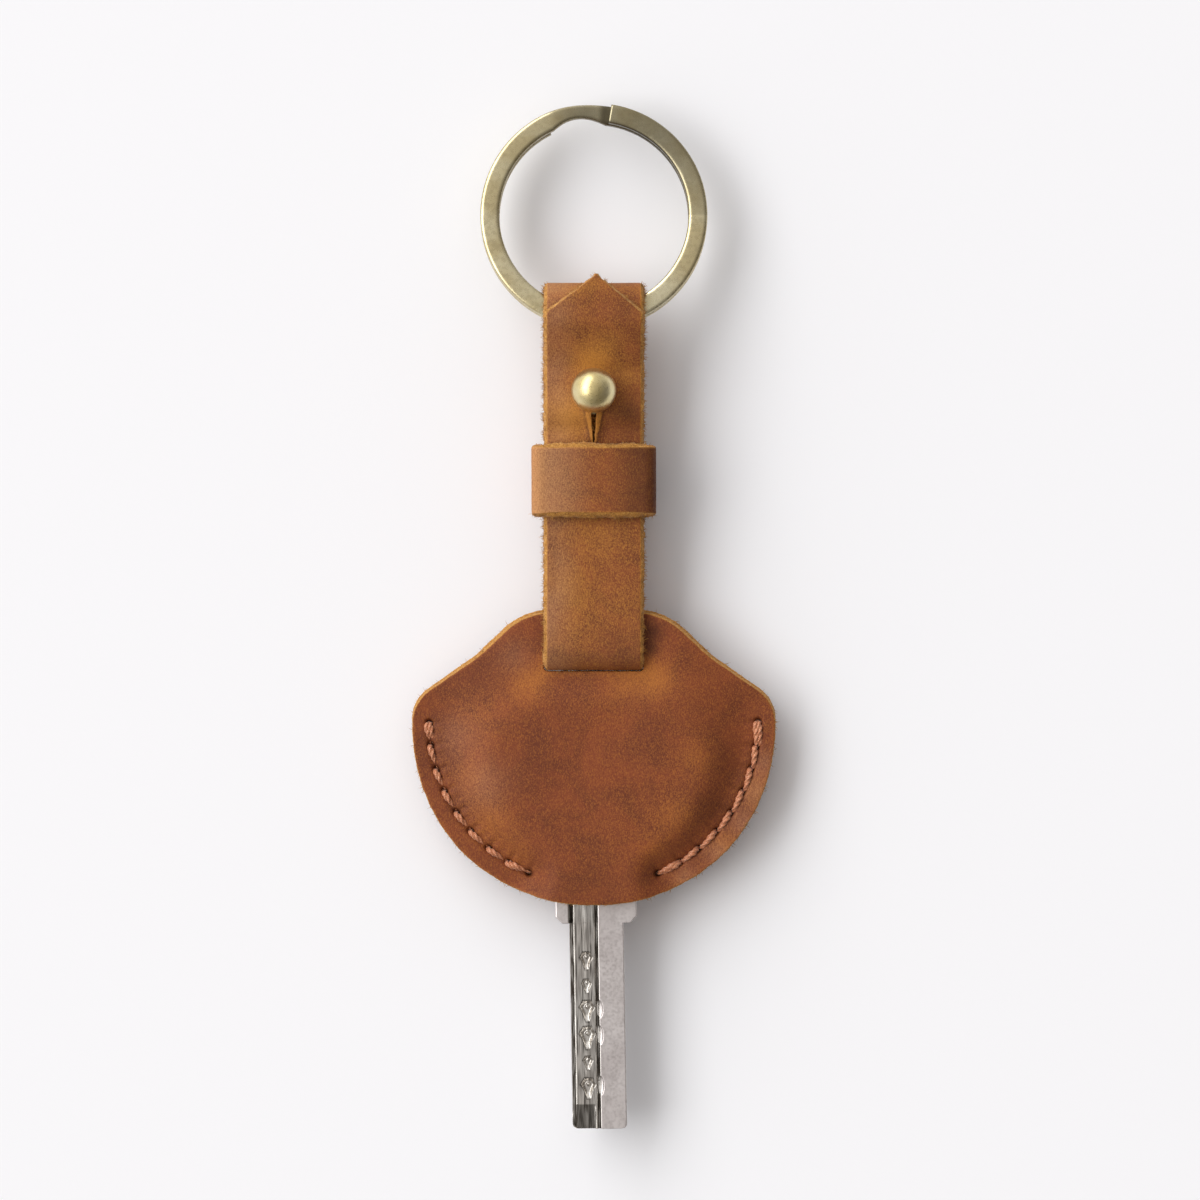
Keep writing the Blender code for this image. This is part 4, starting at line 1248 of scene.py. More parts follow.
    def panel(self, name: str, front: bool) -> Object:
        """One leather panel.

        Args:
            name: The piece's name.
            front: True for the front panel, False for the back one.

        Returns:
            The panel, slotted, with its grain side outwards.
        """
        turns = np.linspace(0, 2 * math.pi, self.around, endpoint=False)
        away = np.stack([np.cos(turns), np.sin(turns)], 1)
        reach = self.reach(away[:, 0], away[:, 1])
        upper = smooth((away[:, 1] - self.shoulder_from) / self.shoulder_ease)
        if not front:
            low = self.back_low_share
            reach = reach + self.back_overhang * (low + (1 - low) * upper)
        seed = self.ragged_seed + front
        reach = reach + rough_line(away * reach[:, None], self.ragged_mm, seed, self.ragged)
        radii, share, first = self.rings(reach, self.bevel + self.shoulder_bevel * upper)

        x, y = radii * away[:, 0], radii * away[:, 1]
        level = self.front_level(x, y) if front else self.back_level(x, y)
        share = share if front else 1 - share
        z = level + share * CUT.thick
        change, _ = self.seam_detail(x, y)
        near_wall = smooth((reach - radii) / self.near_wall)
        if front:
            z = z + np.where(share > 0.5, change * near_wall, 0)
            z = z + rough(np.stack([x, y, 0 * x], -1), *self.unevenness) * near_wall
        else:
            z = z - np.where(share < 0.5, change * near_wall, 0)
        fibres = rough(np.stack([x, y, z], -1), self.fibre_mm, self.fibre_seed + front)
        fuzzy = np.zeros((len(radii), 1))
        fuzzy[first + 3 : first + len(self.edge_wall_shares) - 1] = self.ragged
        x, y = x + away[:, 0] * fibres * fuzzy, y + away[:, 1] * fibres * fuzzy

        raw = np.arange(len(radii) - 1)[:, None] > first
        obj = loft(name, np.stack([x, y, z], -1), raw, 1)
        obj.data.polygons[len(obj.data.polygons) - 2].material_index = 0
        dressed(obj, self.finishes.grain, self.finishes.raw)
        cut(obj, self.slot_cutter())
        self.weather(obj, front)
        return obj

    def slot_cutter(self) -> Object:
        """The slot's shape, with round corners, through both panels.

        Returns:
            The cutting solid.
        """
        low, high, half = CUT.slot_low, CUT.slot_high, CUT.slot_half_width
        corners = [(0, low), (half, low), (half, high), (0, high)]
        right = rounded(corners, (self.slot_corner,) * 2)
        left = [(-x, y) for x, y in reversed(right[1:-1])]
        outline = evenly(right + left + [right[0]], self.slot_step)[:-1]
        outline[:, 1] += rough_line(outline, *self.slot_wander)
        return prism("slot_cutter", outline, *self.slot_cut, self.finishes.raw)

    def weather(self, obj: Object, front: bool) -> None:
        """Marks where the leather is rubbed pale, and paints shade and a sheen on it.

        Args:
            obj: The panel.
            front: True for the front panel.
        """
        x, y, _ = points_of(obj).T
        edge = self.reach(x, y) - np.hypot(x, y)
        slot = np.hypot(
            np.maximum(np.abs(x) - CUT.slot_half_width, 0),
            np.maximum(np.maximum(CUT.slot_low - y, y - CUT.slot_high), 0),
        )
        worn = bell(edge, *self.edge_pull) + patches(x, y, self.rubbed_places)
        worn += bell(slot, *self.slot_pull)
        # Painted shade, with the seam's painted shade on the front.
        dark = patches(x, y, self.shade_places)
        if front:
            dark += self.seam_detail(x, y)[1]
        paint(obj, "pull", worn)
        paint(obj, "shade", dark)
        # Painted sheen, on the front only.
        paint(obj, "painted_sheen", patches(x, y, self.sheen_places) * front)

    def build(self) -> None:
        """Makes both panels."""
        for name, node, front in (
            ("front_leather", "front_panel", True), ("back_leather", "back_panel", False)
        ):
            obj = self.panel(name, front)
            settle(obj, Body.POCKET, "pocket_leather", node)
            x, y, _ = points_of(obj).T
            edge = np.abs(self.reach(x, y) - np.hypot(x, y)) < self.edge_end
            lip = np.abs(y - CUT.slot_low) < self.slot_fray_y
            lip &= np.abs(x) < CUT.slot_half_width + self.slot_fray_x
            frayed = self.edge_fray * edge + self.slot_fray * lip
            self.fray.grow(obj, Body.POCKET, "pocket_leather", frayed, self.fray_seed + front)


@dataclass(frozen=True)
class Band:
    """How a strip of leather is cut: its edges slope and are ragged, its grain side swells."""

    half: float = CUT.thick / 2
    rim_shares: tuple = (0.0, 0.004, 0.012, 0.03, 0.06)
    inner_share: float = 0.09
    inner_columns: int = 66
    rim_drop: float = 0.05
    rim_reach: float = 0.07
    wall: tuple = (
        (0.06, 0.60), (0.28, 0.50), (0.52, 0.34), (0.76, 0.12), (0.93, -0.2), (1.0, -0.56)
    )
    flesh_share: float = 0.015
    flesh_columns: int = 9
    flesh_fuzz: float = 0.25
    fuzz: tuple = ((0.7, 0, 0.24), (0.3, 4, 0.14))
    swell: tuple = (5.0, 9, 0.05)

    def along(
        self, name: str, middle: Array, outward: Array, across: Place, grain: Array, flesh: Array,
        seed: float,
    ) -> Object:
        """A strip of leather along a route.

        Args:
            name: The piece's name.
            middle: Points along the middle of the strip's thickness.
            outward: Unit vectors there, from the flesh side to the grain side.
            across: The unit vector across the strip.
            grain: For each point, the low and high edge of the grain side, along across.
            flesh: The same for the flesh side.
            seed: Moves the random patterns.

        Returns:
            The strip, whose first material is the grain side and whose second is the raw leather.
        """
        inner = np.linspace(self.inner_share, 1 - self.inner_share, self.inner_columns)
        rim = np.array(self.rim_shares)
        shares = np.concatenate([rim, inner, 1 - rim[::-1]])[None]
        width = (grain[:, 1] - grain[:, 0])[:, None]
        top = self.half - self.rim_drop * np.exp(
            -np.minimum(shares, 1 - shares) * width / self.rim_reach
        )
        slope, height = np.array(self.wall).T
        low, high = (g[:, None] for g in grain.T)
        under_low, under_high = (f[:, None] for f in flesh.T)
        back = np.linspace(1 - self.flesh_share, self.flesh_share, self.flesh_columns)[None]
        side = np.hstack([
            low + width * shares, high + (under_high - high) * slope,
            under_low + (under_high - under_low) * back, low + (under_low - low) * slope[::-1],
        ])
        level = 0 * low
        depth = np.hstack([
            top, level + height, level - self.half + 0 * back, level + height[::-1]
        ])
        across = np.array(across)
        points = middle[:, None] + outward[:, None] * depth[..., None] + across * side[..., None]
        columns, wall = shares.size, len(self.wall)
        raw = np.ones(side.shape[1])
        raw[:columns] = 0
        raw[columns + wall : columns + wall + self.flesh_columns] = self.flesh_fuzz
        sign = np.where(side > side.mean(1, keepdims=True), 1, -1)
        fuzz = sum(rough(points, size, seed + more, height) for size, more, height in self.fuzz)
        points = points + across * (sign * fuzz * raw)[..., None]
        size, more, height = self.swell
        swell = rough(points, size, seed + more, height) * (1 - raw)
        points = points + outward[:, None] * swell[..., None]
        return loft(name, points, np.arange(side.shape[1]) >= columns - 1, 1)


BAND = Band()


def flat_frames(line: Array) -> Array:
    """Unit vectors to the left of a plane line.

    Args:
        line: Points in the plane.

    Returns:
        One vector for each point.
    """
    along = np.gradient(line, axis=0)
    along /= np.linalg.norm(along, axis=1)[:, None]
    return np.stack([-along[:, 1], along[:, 0]], 1)


@dataclass
class Strap:
    """The strap, folded over the ring and buttoned on its stud."""

    finishes: Finishes
    fray: Fray
    step: float = 0.33
    half: float = BAND.half
    grain_half: float = 6.60
    flesh_half: float = 7.04
    back_z: float = 2.4
    middle_z: float = 4.1
    front_z: float = 5.8
    flange_z: float = 6.7
    tip_z: float = 9.48
    dip_low_y: float = 16.6
    dip_high_y: float = 20.2
    turn_y: float = 8.04
    middle_end_y: float = 36.5
    rise_low_y: float = 41.4
    rise_high_y: float = 43.2
    flange_y: float = 49.6
    lift_y: float = 56.2
    clamp_y: float = 50.2
    fold_y: float = 57.6
    fold_z: float = 4.24
    fold_radius: float = 3.54
    bend_radii: tuple = (5.0, 4.0, 4.0, 1.1, 1.1, 4.0, 4.0, 4.0, 4.0)
    clamp_radius: float = 5.0
    tip_y: float = 62.7
    tip_x: float = 0.35
    taper: float = 5.3
    tip_bevel: float = 0.20
    tip_half: float = 0.04
    flesh_tip_half: float = 0.25
    wander: tuple = (9.0, 21.0, 0.09)
    breadth: tuple = (6.0, 33.0, 0.012)
    band_seed: float = 40.0
    hole_radius: float = 1.95
    slit_top_half: float = 0.46
    slit_low_y: float = 39.25
    slit_low_half: float = 0.09
    slit_step: float = 0.25
    slit_wander: tuple = (0.5, 6.0, 0.06)
    ring_step: float = 0.15
    screw_hole: float = 1.3
    screw_low_z: float = 0.5
    cut_gap: float = 0.1
    lip_rise: tuple = (0.9, 0.42)
    lip_gap: float = 0.3
    lip_low_y: float = 38.5
    lip_high_y: float = 46.0
    lip_ease: float = 2.0
    lip_low: float = 0.30
    lip_top: float = 1.25
    lip_open: tuple = (-0.4, 4.2)
    lip_ends: tuple = (-0.2, 0.4, 45.4, 0.5)
    lip_ragged: tuple = (0.8, 77.0, 0.18)
    lip_edge: float = 0.22
    lip_pull: float = 0.92
    # Painted shade along the edges of the slit.
    lip_dark: tuple = (0.16, 0.42)
    lip_dark_gap: float = 0.05
    fold_pull: tuple = (1.5, 0.25)
    edge_pull: tuple = (0.1, 0.7)
    # Painted light on the left side, painted shade where the strap runs into the slot, the stud's
    # painted shadow, and painted sheen on the left side.
    left_painted_light: float = 0.16
    slot_dark: tuple = (1.3, 0.30)
    ball_shadow: tuple = (5.0, -3.0, 2.1, 1.8, 0.44)
    left_sheen: float = 0.30
    left_ease: float = 5.0
    cloud: tuple = (4.0, 81.0)
    edge_fray: tuple = (-0.1, 0.3)
    tip_fray: float = 0.8
    slit_fray: float = 0.5
    slit_fray_x: float = 0.8
    fray_seed: int = 3
    # Patches paled by bending and rubbing; the one right of the stud is painted light laid over the
    # stud's shadow.
    haloes: tuple = (
        (0.0, 50.3, 2.8, 0.75), (-3.4, 43.6, 3.0, 0.60), (3.6, 44.6, 2.0, 0.20),
        (2.4, 53.6, 2.4, 0.25), (-4.0, 40.8, 2.5, 0.35), (2.0, 26.5, 3.5, 0.25),
        (4.9, 48.6, 1.8, 0.45), (-3.6, 19.5, 3.0, 0.25), (4.4, 17.0, 3.0, 0.20),
        (-2.0, 14.5, 3.0, 0.12),
    )

    def course(self) -> Array:
        """The middle of the strap's thickness, from its hidden end to its tip, as Y and Z.

        Returns:
            Rows of Y and Z.
        """
        centre = Vector((self.fold_y, self.fold_z))
        touches = []
        for level, sign in ((self.middle_z, -1), (self.back_z, 1)):
            away = Vector((self.clamp_y, level)) - centre
            turn = math.atan2(away.y, away.x) + sign * math.acos(self.fold_radius / away.length)
            touches.append(turn % (2 * math.pi))
        fold = arc(centre, self.fold_radius, touches[0], touches[1] - 2 * math.pi, math.radians(4))
        start = rounded(
            [(self.middle_end_y, self.middle_z), (self.clamp_y, self.middle_z), fold[0]],
            (self.clamp_radius,),
        )
        corners = [
            (self.clamp_y, self.back_z), (self.dip_high_y, self.back_z),
            (self.dip_low_y, self.half), (self.turn_y, self.half),
            (self.turn_y, self.front_z), (self.rise_low_y, self.front_z),
            (self.rise_high_y, self.flange_z), (self.flange_y, self.flange_z),
            (self.lift_y, self.tip_z),
        ]
        end = rounded([fold[-1], *corners, (self.tip_y, self.tip_z)], self.bend_radii)
        return evenly(start[:-1] + fold + end[1:], self.step)

    def keyhole(self) -> Object:
        """The buttonhole and its wedge-shaped slit, through the front layer only.

        Returns:
            The cutting solid.
        """
        spread = math.asin(self.slit_top_half / self.hole_radius)
        first, last = spread - math.pi / 2, 1.5 * math.pi - spread
        ring = arc((0, CUT.stud_y), self.hole_radius, first, last, self.ring_step)
        ends = [(side * self.slit_low_half, self.slit_low_y) for side in (-1, 1)]
        outline = evenly([*ring, *ends, ring[0]], self.slit_step)[:-1]
        outline[:, 0] += rough_line(outline, *self.slit_wander)
        low_z = self.middle_z + self.half + self.cut_gap
        return prism("keyhole_cutter", outline, low_z, self.tip_z, self.finishes.raw)

    def screw_hole_cutter(self) -> Object:
        """The hole for the stud's screw, through the back and the middle layer.

        Returns:
            The cutting solid.
        """
        ring = circle((0, CUT.stud_y), self.screw_hole, 2 * self.ring_step)
        high_z = self.middle_z + self.half + self.cut_gap
        return prism("screw_hole_cutter", ring, self.screw_low_z, high_z, self.finishes.raw)

    def build(self) -> None:
        """Makes the strap."""
        line = self.course()
        along = np.concatenate([[0], np.cumsum(np.linalg.norm(np.diff(line, axis=0), axis=1))])
        zero = np.zeros(len(line))
        taper = np.clip((along[-1] - along) / self.taper, 0, 1)
        samples = np.column_stack([zero, line])
        shift = rough(samples, *self.wander) + self.tip_x * (1 - taper)
        breadth = 1 + rough(samples, *self.breadth)
        grain = self.grain_half * breadth * taper - self.tip_bevel * (taper < 1)
        grain = np.maximum(grain, self.tip_half)
        flesh = np.maximum(self.flesh_half * breadth * taper, self.flesh_tip_half)
        obj = BAND.along(
            "strap_leather", samples, np.column_stack([zero, flat_frames(line)]), (1.0, 0.0, 0.0),
            *(np.stack([shift - half, shift + half], 1) for half in (grain, flesh)),
            self.band_seed,
        )
        self.press(obj)
        dressed(obj, self.finishes.strap, self.finishes.raw)
        cut(obj, self.keyhole())
        cut(obj, self.screw_hole_cutter())
        self.weather(obj)
        settle(obj, Body.STRAP, "strap_leather", "strap")
        x, y, z = points_of(obj).T
        inset, ease = self.edge_fray
        edge = smooth((np.abs(x) - self.grain_half - inset) / ease)
        slant = (self.tip_y - y) / self.taper * self.flesh_half - np.abs(x - self.tip_x)
        tip = (y > self.tip_y - self.taper) & (z > self.tip_z - self.half) & (slant < 0.5)
        slit = (np.abs(x) < self.slit_fray_x) & (y < self.lip_high_y) & (y > self.slit_low_y)
        slit &= z > self.middle_z + 1
        frayed = np.maximum(edge, self.tip_fray * tip + self.slit_fray * slit)
        self.fray.grow(obj, Body.STRAP, "strap_leather", frayed, self.fray_seed)

    def press(self, obj: Object) -> None:
        """Raises the lips of the slit, which the neck of the stud has pushed apart.

        Args:
            obj: The strap, still whole.
        """
        points = points_of(obj)
        x, y, z = points.T
        front = z > self.middle_z + self.half + self.lip_gap
        share = np.clip((y - self.slit_low_y) / (CUT.stud_y - self.slit_low_y), 0, 1)
        gap = np.abs(np.abs(x) - self.slit_low_half - share * self.slit_top_half)
        rise = bell(gap, *self.lip_rise) * smooth((y - self.lip_low_y) / self.lip_ease)
        points[:, 2] += rise * smooth((self.lip_high_y - y) / self.lip_ease) * front
        mesh = obj.data
        mesh.vertices.foreach_set("co", ((points + (0, DATUM_Y, 0)) * MM).ravel())
        mesh.update()

    def weather(self, obj: Object) -> None:
        """Marks where bending and rubbing have paled the strap, and paints light, shade, the stud's
        shadow and a sheen on it.

        Args:
            obj: The finished strap.
        """
        places = points_of(obj)
        x, y, z = places.T
        front = z > self.middle_z + self.half
        worn = patches(x, y, self.haloes) * front
        worn += bell(y - self.fold_y - self.fold_radius, *self.fold_pull)
        worn += bell(np.abs(x) - self.grain_half, *self.edge_pull)
        # Painted light: the left side is paler, as the light falls from the left.
        worn += self.left_painted_light * smooth(0.5 - x / self.grain_half)
        above = y - self.slit_low_y
        start, reach = self.lip_open
        opened = np.clip((above - start) / reach, 0, 1)
        spread = self.lip_low + (self.lip_top - self.lip_low) * opened
        spread = spread + rough(np.column_stack([np.sign(x), y, 0 * z]), *self.lip_ragged)
        start, start_ease, end_y, end_ease = self.lip_ends
        slit = front * smooth((above - start) / start_ease) * smooth((end_y - y) / end_ease)
        lips = slit * smooth((spread - np.abs(x)) / self.lip_edge)
        paint(obj, "pull", np.maximum(worn * (1 - lips), self.lip_pull * lips))
        # Painted shade where the strap runs into the slot, and the stud's painted shadow.
        px, py, reach_x, reach_y, strength = self.ball_shadow
        shadow = ((x - px) / reach_x) ** 2 + ((y - CUT.stud_y - py) / reach_y) ** 2
        dark = (bell(y - CUT.slot_high, *self.slot_dark) + strength * np.exp(-shadow)) * front
        # Painted shade along the edges of the slit.
        dark += slit * bell(np.abs(x) - spread - self.lip_dark_gap, *self.lip_dark)
        paint(obj, "shade", dark)
        # Painted sheen on the left side, in clouds.
        left = smooth((-x - 1.0) / self.left_ease) * front
        left = left * (0.5 + 0.5 * smooth(0.5 + rough(places, *self.cloud)))
        paint(obj, "painted_sheen", self.left_sheen * left)


@dataclass
class Keeper:
    """The keeper loop that the strap's layers run through."""

    finishes: Finishes
    fray: Fray
    step: float = 0.33
    side: float = 8.05
    low: float = 0.7
    high: float = 7.5
    corner: float = 0.75
    crown: float = 0.22
    joint_half: float = 0.15
    grain: tuple = (29.45, 38.5)
    flesh: tuple = (28.72, 39.2)
    front_z: float = 5.0
    narrow: float = 0.3
    grain_narrow: float = 0.12
    narrow_from: float = 5.5
    wobbles: tuple = ((3.0, 51.0, 0.10), (3.0, 57.0, 0.10))
    band_seed: float = 60.0
    corner_pull: tuple = (1.2, 0.35)
    edge_pull: tuple = (0.12, 0.5)
    # Painted light on the left, painted shade on the right and painted sheen on the left, as the
    # light falls from the left.
    left_painted_light: float = 0.30
    right_dark: float = 0.56
    left_sheen: float = 0.38
    fade: float = 8.0
    fray_ease: float = 0.3
    upper_fray: float = 0.35
    fray_seed: int = 9

    def build(self) -> None:
        """Makes the band."""
        side, low, high = self.side, self.low, self.high
        corners = [
            (self.joint_half, low), (side, low), (side, high), (-side, high), (-side, low),
            (-self.joint_half, low),
        ]
        line = evenly(rounded(corners, (self.corner,) * 4), self.step)
        front = smooth((line[:, 1] - 3.0) / (high - 3.0))
        line[:, 1] += self.crown * np.clip(1 - (line[:, 0] / side) ** 2, 0, 1) * front
        outward = -flat_frames(line)
        zero = np.zeros(len(line))
        middle = np.stack([line[:, 0], zero, line[:, 1]], 1)
        normal = np.stack([outward[:, 0], zero, outward[:, 1]], 1)
        ease = smooth((np.abs(line[:, 0]) - self.narrow_from) / (self.fade - self.narrow_from))
        lower, upper = (rough(middle, *wobble) for wobble in self.wobbles)
        edges = [
            np.stack([start + lower + share * ease, end + upper - share * ease], 1)
            for (start, end), share in (
                (self.grain, -self.grain_narrow), (self.flesh, self.narrow)
            )
        ]
        obj = BAND.along("keeper_band", middle, normal, (0.0, 1.0, 0.0), *edges, self.band_seed)
        dressed(obj, self.finishes.strap, self.finishes.raw)
        x, y, z = points_of(obj).T
        on_front = smooth((z - self.front_z) / 2.0)
        on_left = smooth((1.0 - x) / self.fade)
        edge = np.minimum(y - self.grain[0], self.grain[1] - y)
        # Paler at the left bend and along the edges, and painted light on the left half.
        worn = bell(np.abs(x) - side, *self.corner_pull) * on_front * (x < 0)
        worn += bell(edge, *self.edge_pull) + self.left_painted_light * on_left
        paint(obj, "pull", worn)
        # Painted shade on the right, and painted sheen on the left of the front.
        paint(obj, "shade", self.right_dark * smooth((x - 1.0) / 7.0))
        paint(obj, "painted_sheen", self.left_sheen * on_left * on_front)
        settle(obj, Body.KEEPER, "strap_leather", "keeper")
        dress_node("keeper_thread", self.finishes.thread)
        seen = smooth(z - self.front_z)
        lower = smooth((self.grain[0] - y) / self.fray_ease) * seen
        upper = self.upper_fray * smooth((y - self.grain[1]) / self.fray_ease) * seen
        frayed = np.maximum(lower, upper)
        self.fray.grow(obj, Body.KEEPER, "strap_leather", frayed, self.fray_seed)


@dataclass
class BallStud:
    """The turned ball stud and the screw that holds it from behind."""

    finishes: Finishes
    foot_z: float = 5.1
    foot_radius: float = 0.3
    flange_radius: float = 3.2
    flange_thick: float = 0.6
    neck_radius: float = 1.6
    ball_radius: float = 3.13
    ball_z: float = 10.39
    top_radius: float = 0.05
    break_edge: float = 0.1
    sides: int = 96

    def build(self) -> None:
        """Makes the stud, turned round its axis."""
        foot, top, edge = self.foot_z, self.foot_z + self.flange_thick, self.break_edge
        start = -math.acos(self.neck_radius / self.ball_radius)
        ball = arc((0, self.ball_z), self.ball_radius, start, math.pi / 2, math.radians(3))[:-1]
        profile = [
            (self.foot_radius, foot), (self.flange_radius - edge, foot),
            (self.flange_radius, foot + edge), (self.flange_radius, top - edge),
            (self.flange_radius - edge, top), (self.neck_radius + 2 * edge, top),
            (self.neck_radius, top + 2 * edge), *ball,
            (self.top_radius, self.ball_z + self.ball_radius),
        ]
        turns = np.linspace(0, 2 * math.pi, self.sides, endpoint=False)
        rows = [
            np.column_stack(
                [r * np.cos(turns), CUT.stud_y + r * np.sin(turns), np.full(self.sides, z)]
            )
            for r, z in profile
        ]
        obj = dressed(loft("ball_stud_turned", np.array(rows)), self.finishes.stud)
        settle(obj, Body.STRAP, "stud_brass", "ball_stud")
        dress_node("stud_screw", self.finishes.stud)


@dataclass
class SplitRing:
    """The split ring: two turns of flat wire with rounded edges, and a step between them."""

    finishes: Finishes
    outer: float = 16.0
    inner: float = 13.3
    thick: float = 1.35
    edge_reach: float = 0.62
    edge_drop: float = 0.38
    level: float = 0.89
    cut_turn: float = math.radians(9)
    end_turn: float = math.radians(684)
    step_start: float = math.radians(326)
    step_end: float = math.radians(358)
    narrow: float = 0.70
    drop: float = 13.745
    tilt: float = math.radians(5.1)
    fold_y: float = 57.6
    fold_z: float = 4.24
    steps: int = 620
    corner_steps: int = 8
    # Darker over the top and the upper right, painted shade along the inner edge, and painted shade
    # in the recess beside the cut end.
    dark_turn: float = 55.0
    dark: tuple = (56.0, 0.66)
    inner_line: float = 1.1
    inner_ease: float = 0.2
    inner_dark: float = 0.35
    recess_turn: float = 349.0
    recess_ease: float = 8.0
    recess_dark: float = 0.9

    def section(self) -> Array:
        """The wire's rounded section, across and up from its middle.

        Returns:
            Rows of two lengths.
        """
        half_width, half_thick = (self.outer - self.inner) / 2, self.thick / 2
        quarter = math.pi / 2
        outline = []
        for x, y, start in ((1, 1, 0), (-1, 1, 1), (-1, -1, 2), (1, -1, 3)):
            middle = np.array((half_width - self.edge_reach, half_thick - self.edge_drop)) * (x, y)
            first = start * quarter
            turn = arc((0, 0), 1.0, first, first + quarter, quarter / self.corner_steps)
            outline += (middle + np.array(turn) * (self.edge_reach, self.edge_drop)).tolist()
        return np.array(outline)

    def build(self) -> None:
        """Makes the ring."""
        turns = np.linspace(0, self.end_turn, self.steps)
        share = np.clip((turns - self.step_start) / (self.step_end - self.step_start), 0, 1)
        waist = 1 - (1 - self.narrow) * np.sin(math.pi * share)
        angle = (math.pi / 2 - self.cut_turn - turns)[:, None]
        level = self.level * (1 - 2 * smooth(share))
        wide, high = self.section().T
        radius = (self.outer + self.inner) / 2 + (self.outer - self.inner) * (1 - waist) / 2
        across = radius[:, None] + wide * waist[:, None]
        up = level[:, None] + high
        y = across * np.sin(angle) + self.drop
        sine, cosine = math.sin(self.tilt), math.cos(self.tilt)
        points = np.stack([
            across * np.cos(angle), y * cosine + up * sine + self.fold_y,
            up * cosine - y * sine + self.fold_z,
        ], -1)
        obj = dressed(loft("split_ring", points), self.finishes.ring)
        # Darker over the top and the upper right.
        upper_right_dark = bell(np.degrees(angle) % 360 - self.dark_turn, *self.dark)
        # Painted shade along the inner edge.
        inner_side = smooth((-wide - self.inner_line) / self.inner_ease)
        # Painted shade in the recess beside the cut end, on the upper side of the wire.
        before_cut = smooth((np.degrees(turns) - self.recess_turn) / self.recess_ease)
        before_cut = before_cut * (turns < 2 * math.pi + 0.05)
        recess = before_cut[:, None] * smooth(0.5 + high)
        ring_darkening = upper_right_dark + self.inner_dark * inner_side
        paint(obj, "shade", np.maximum(ring_darkening, self.recess_dark * recess).ravel())
        settle(obj, Body.RING, "ring_brass", "key_ring")


def eased(points: Sequence[Place], count: int) -> Array:
    """A smooth line through points (Catmull-Rom), each with as many numbers as it has.

    Args:
        points: Rows of numbers.
        count: Steps between two points.

    Returns:
        The line's points.
    """
    rows = np.asarray(points, float)
    rows = np.vstack([2 * rows[0] - rows[1], rows, 2 * rows[-1] - rows[-2]])
    made = []
    for a, b, c, d in zip(rows, rows[1:], rows[2:], rows[3:]):
        for share in np.arange(count) / count:
            made.append(
                0.5 * (2 * b + (c - a) * share + (2 * a - 5 * b + 4 * c - d) * share**2
                       + (3 * b - a - 3 * c + d) * share**3)
            )
    return np.array(made + [rows[-2]])


def thread_tree() -> GeometryNodeTree:
    """Geometry nodes that turn curves into twisted thread.

    Returns:
        A tree with inputs for the curves, the twist, the step and the material.
    """
    tree, given = new_tree("twisted_thread", {
        "Turns per metre": "Float", "Step": "Float", "Lobe depth": "Float", "Material": "Material",
    })
    fine = add(
        tree, "GeometryNodeResampleCurve", {"Curve": given["Geometry"], "Length": given["Step"]},
        mode="LENGTH",
    )
    spot = add(tree, "GeometryNodeSplineParameter")
    turns = add(
        tree, "ShaderNodeMath", {0: spot.outputs["Length"], 1: given["Turns per metre"]},
        operation="MULTIPLY",
    )
    tilt = add(tree, "ShaderNodeMath", {0: turns.outputs[0], 1: 2 * math.pi}, operation="MULTIPLY")
    twisted = add(
        tree, "GeometryNodeSetCurveTilt", {"Curve": fine.outputs["Curve"], "Tilt": tilt.outputs[0]}
    )
    outline = add(tree, "GeometryNodeCurvePrimitiveCircle", {"Resolution": 6 * PLIES})
    around = add(tree, "GeometryNodeSplineParameter")
    angle = add(
        tree, "ShaderNodeMath", {0: around.outputs["Factor"], 1: 2 * math.pi * PLIES},
        operation="MULTIPLY",
    )
    wave = add(tree, "ShaderNodeMath", {0: angle.outputs[0]}, operation="COSINE")
    swing = add(
        tree, "ShaderNodeMath", {0: wave.outputs[0], 1: given["Lobe depth"]}, operation="MULTIPLY"
    )
    scale = add(tree, "ShaderNodeMath", {0: swing.outputs[0], 1: 1.0}, operation="ADD")
    place = add(tree, "GeometryNodeInputPosition")
    moved = add(
        tree, "ShaderNodeVectorMath",
        {0: place.outputs["Position"], "Scale": scale.outputs[0]}, operation="SCALE",
    )
    lobed = add(
        tree, "GeometryNodeSetPosition",
        {"Geometry": outline.outputs["Curve"], "Position": moved.outputs["Vector"]},
    )
    radius = add(tree, "GeometryNodeInputRadius")
    swept = add(
        tree, "GeometryNodeCurveToMesh",
        {"Curve": twisted.outputs["Curve"], "Profile Curve": lobed.outputs["Geometry"],
         "Scale": radius.outputs["Radius"], "Fill Caps": True},
    )
    end_tree(swept.outputs["Mesh"], given["Material"])
    return tree


@dataclass
class Thread:
    """Waxed three-ply thread, laid along smooth lines."""

    finishes: Finishes
    turns_per_mm: float = 0.36
    step: float = 0.09
    lobe_depth: float = 0.20
    tree: GeometryNodeTree = field(default_factory=thread_tree)

    def lay(self, name: str, lines: Sequence[Array]) -> Object:
        """Turns lines into one object of thread.

        Args:
            name: The piece's name.
            lines: Rows of X, Y, Z and radius, in millimetres.

        Returns:
            The thread, as a plain mesh.
        """
        curve = bpy.data.curves.new(name + "_line", "CURVE")
        curve.dimensions = "3D"
        for line in lines:
            spline = curve.splines.new("POLY")
            spline.points.add(len(line) - 1)
            for point, (x, y, z, radius) in zip(spline.points, line):
                point.co = (x * MM, (y + DATUM_Y) * MM, z * MM, 1)
                point.radius = radius * MM
        obj = grown(name, curve, self.tree, {
            "Turns per metre": self.turns_per_mm / MM, "Step": self.step * MM,
            "Lobe depth": self.lobe_depth, "Material": self.finishes.thread,
        })
        obj.data.shade_smooth()
        return obj


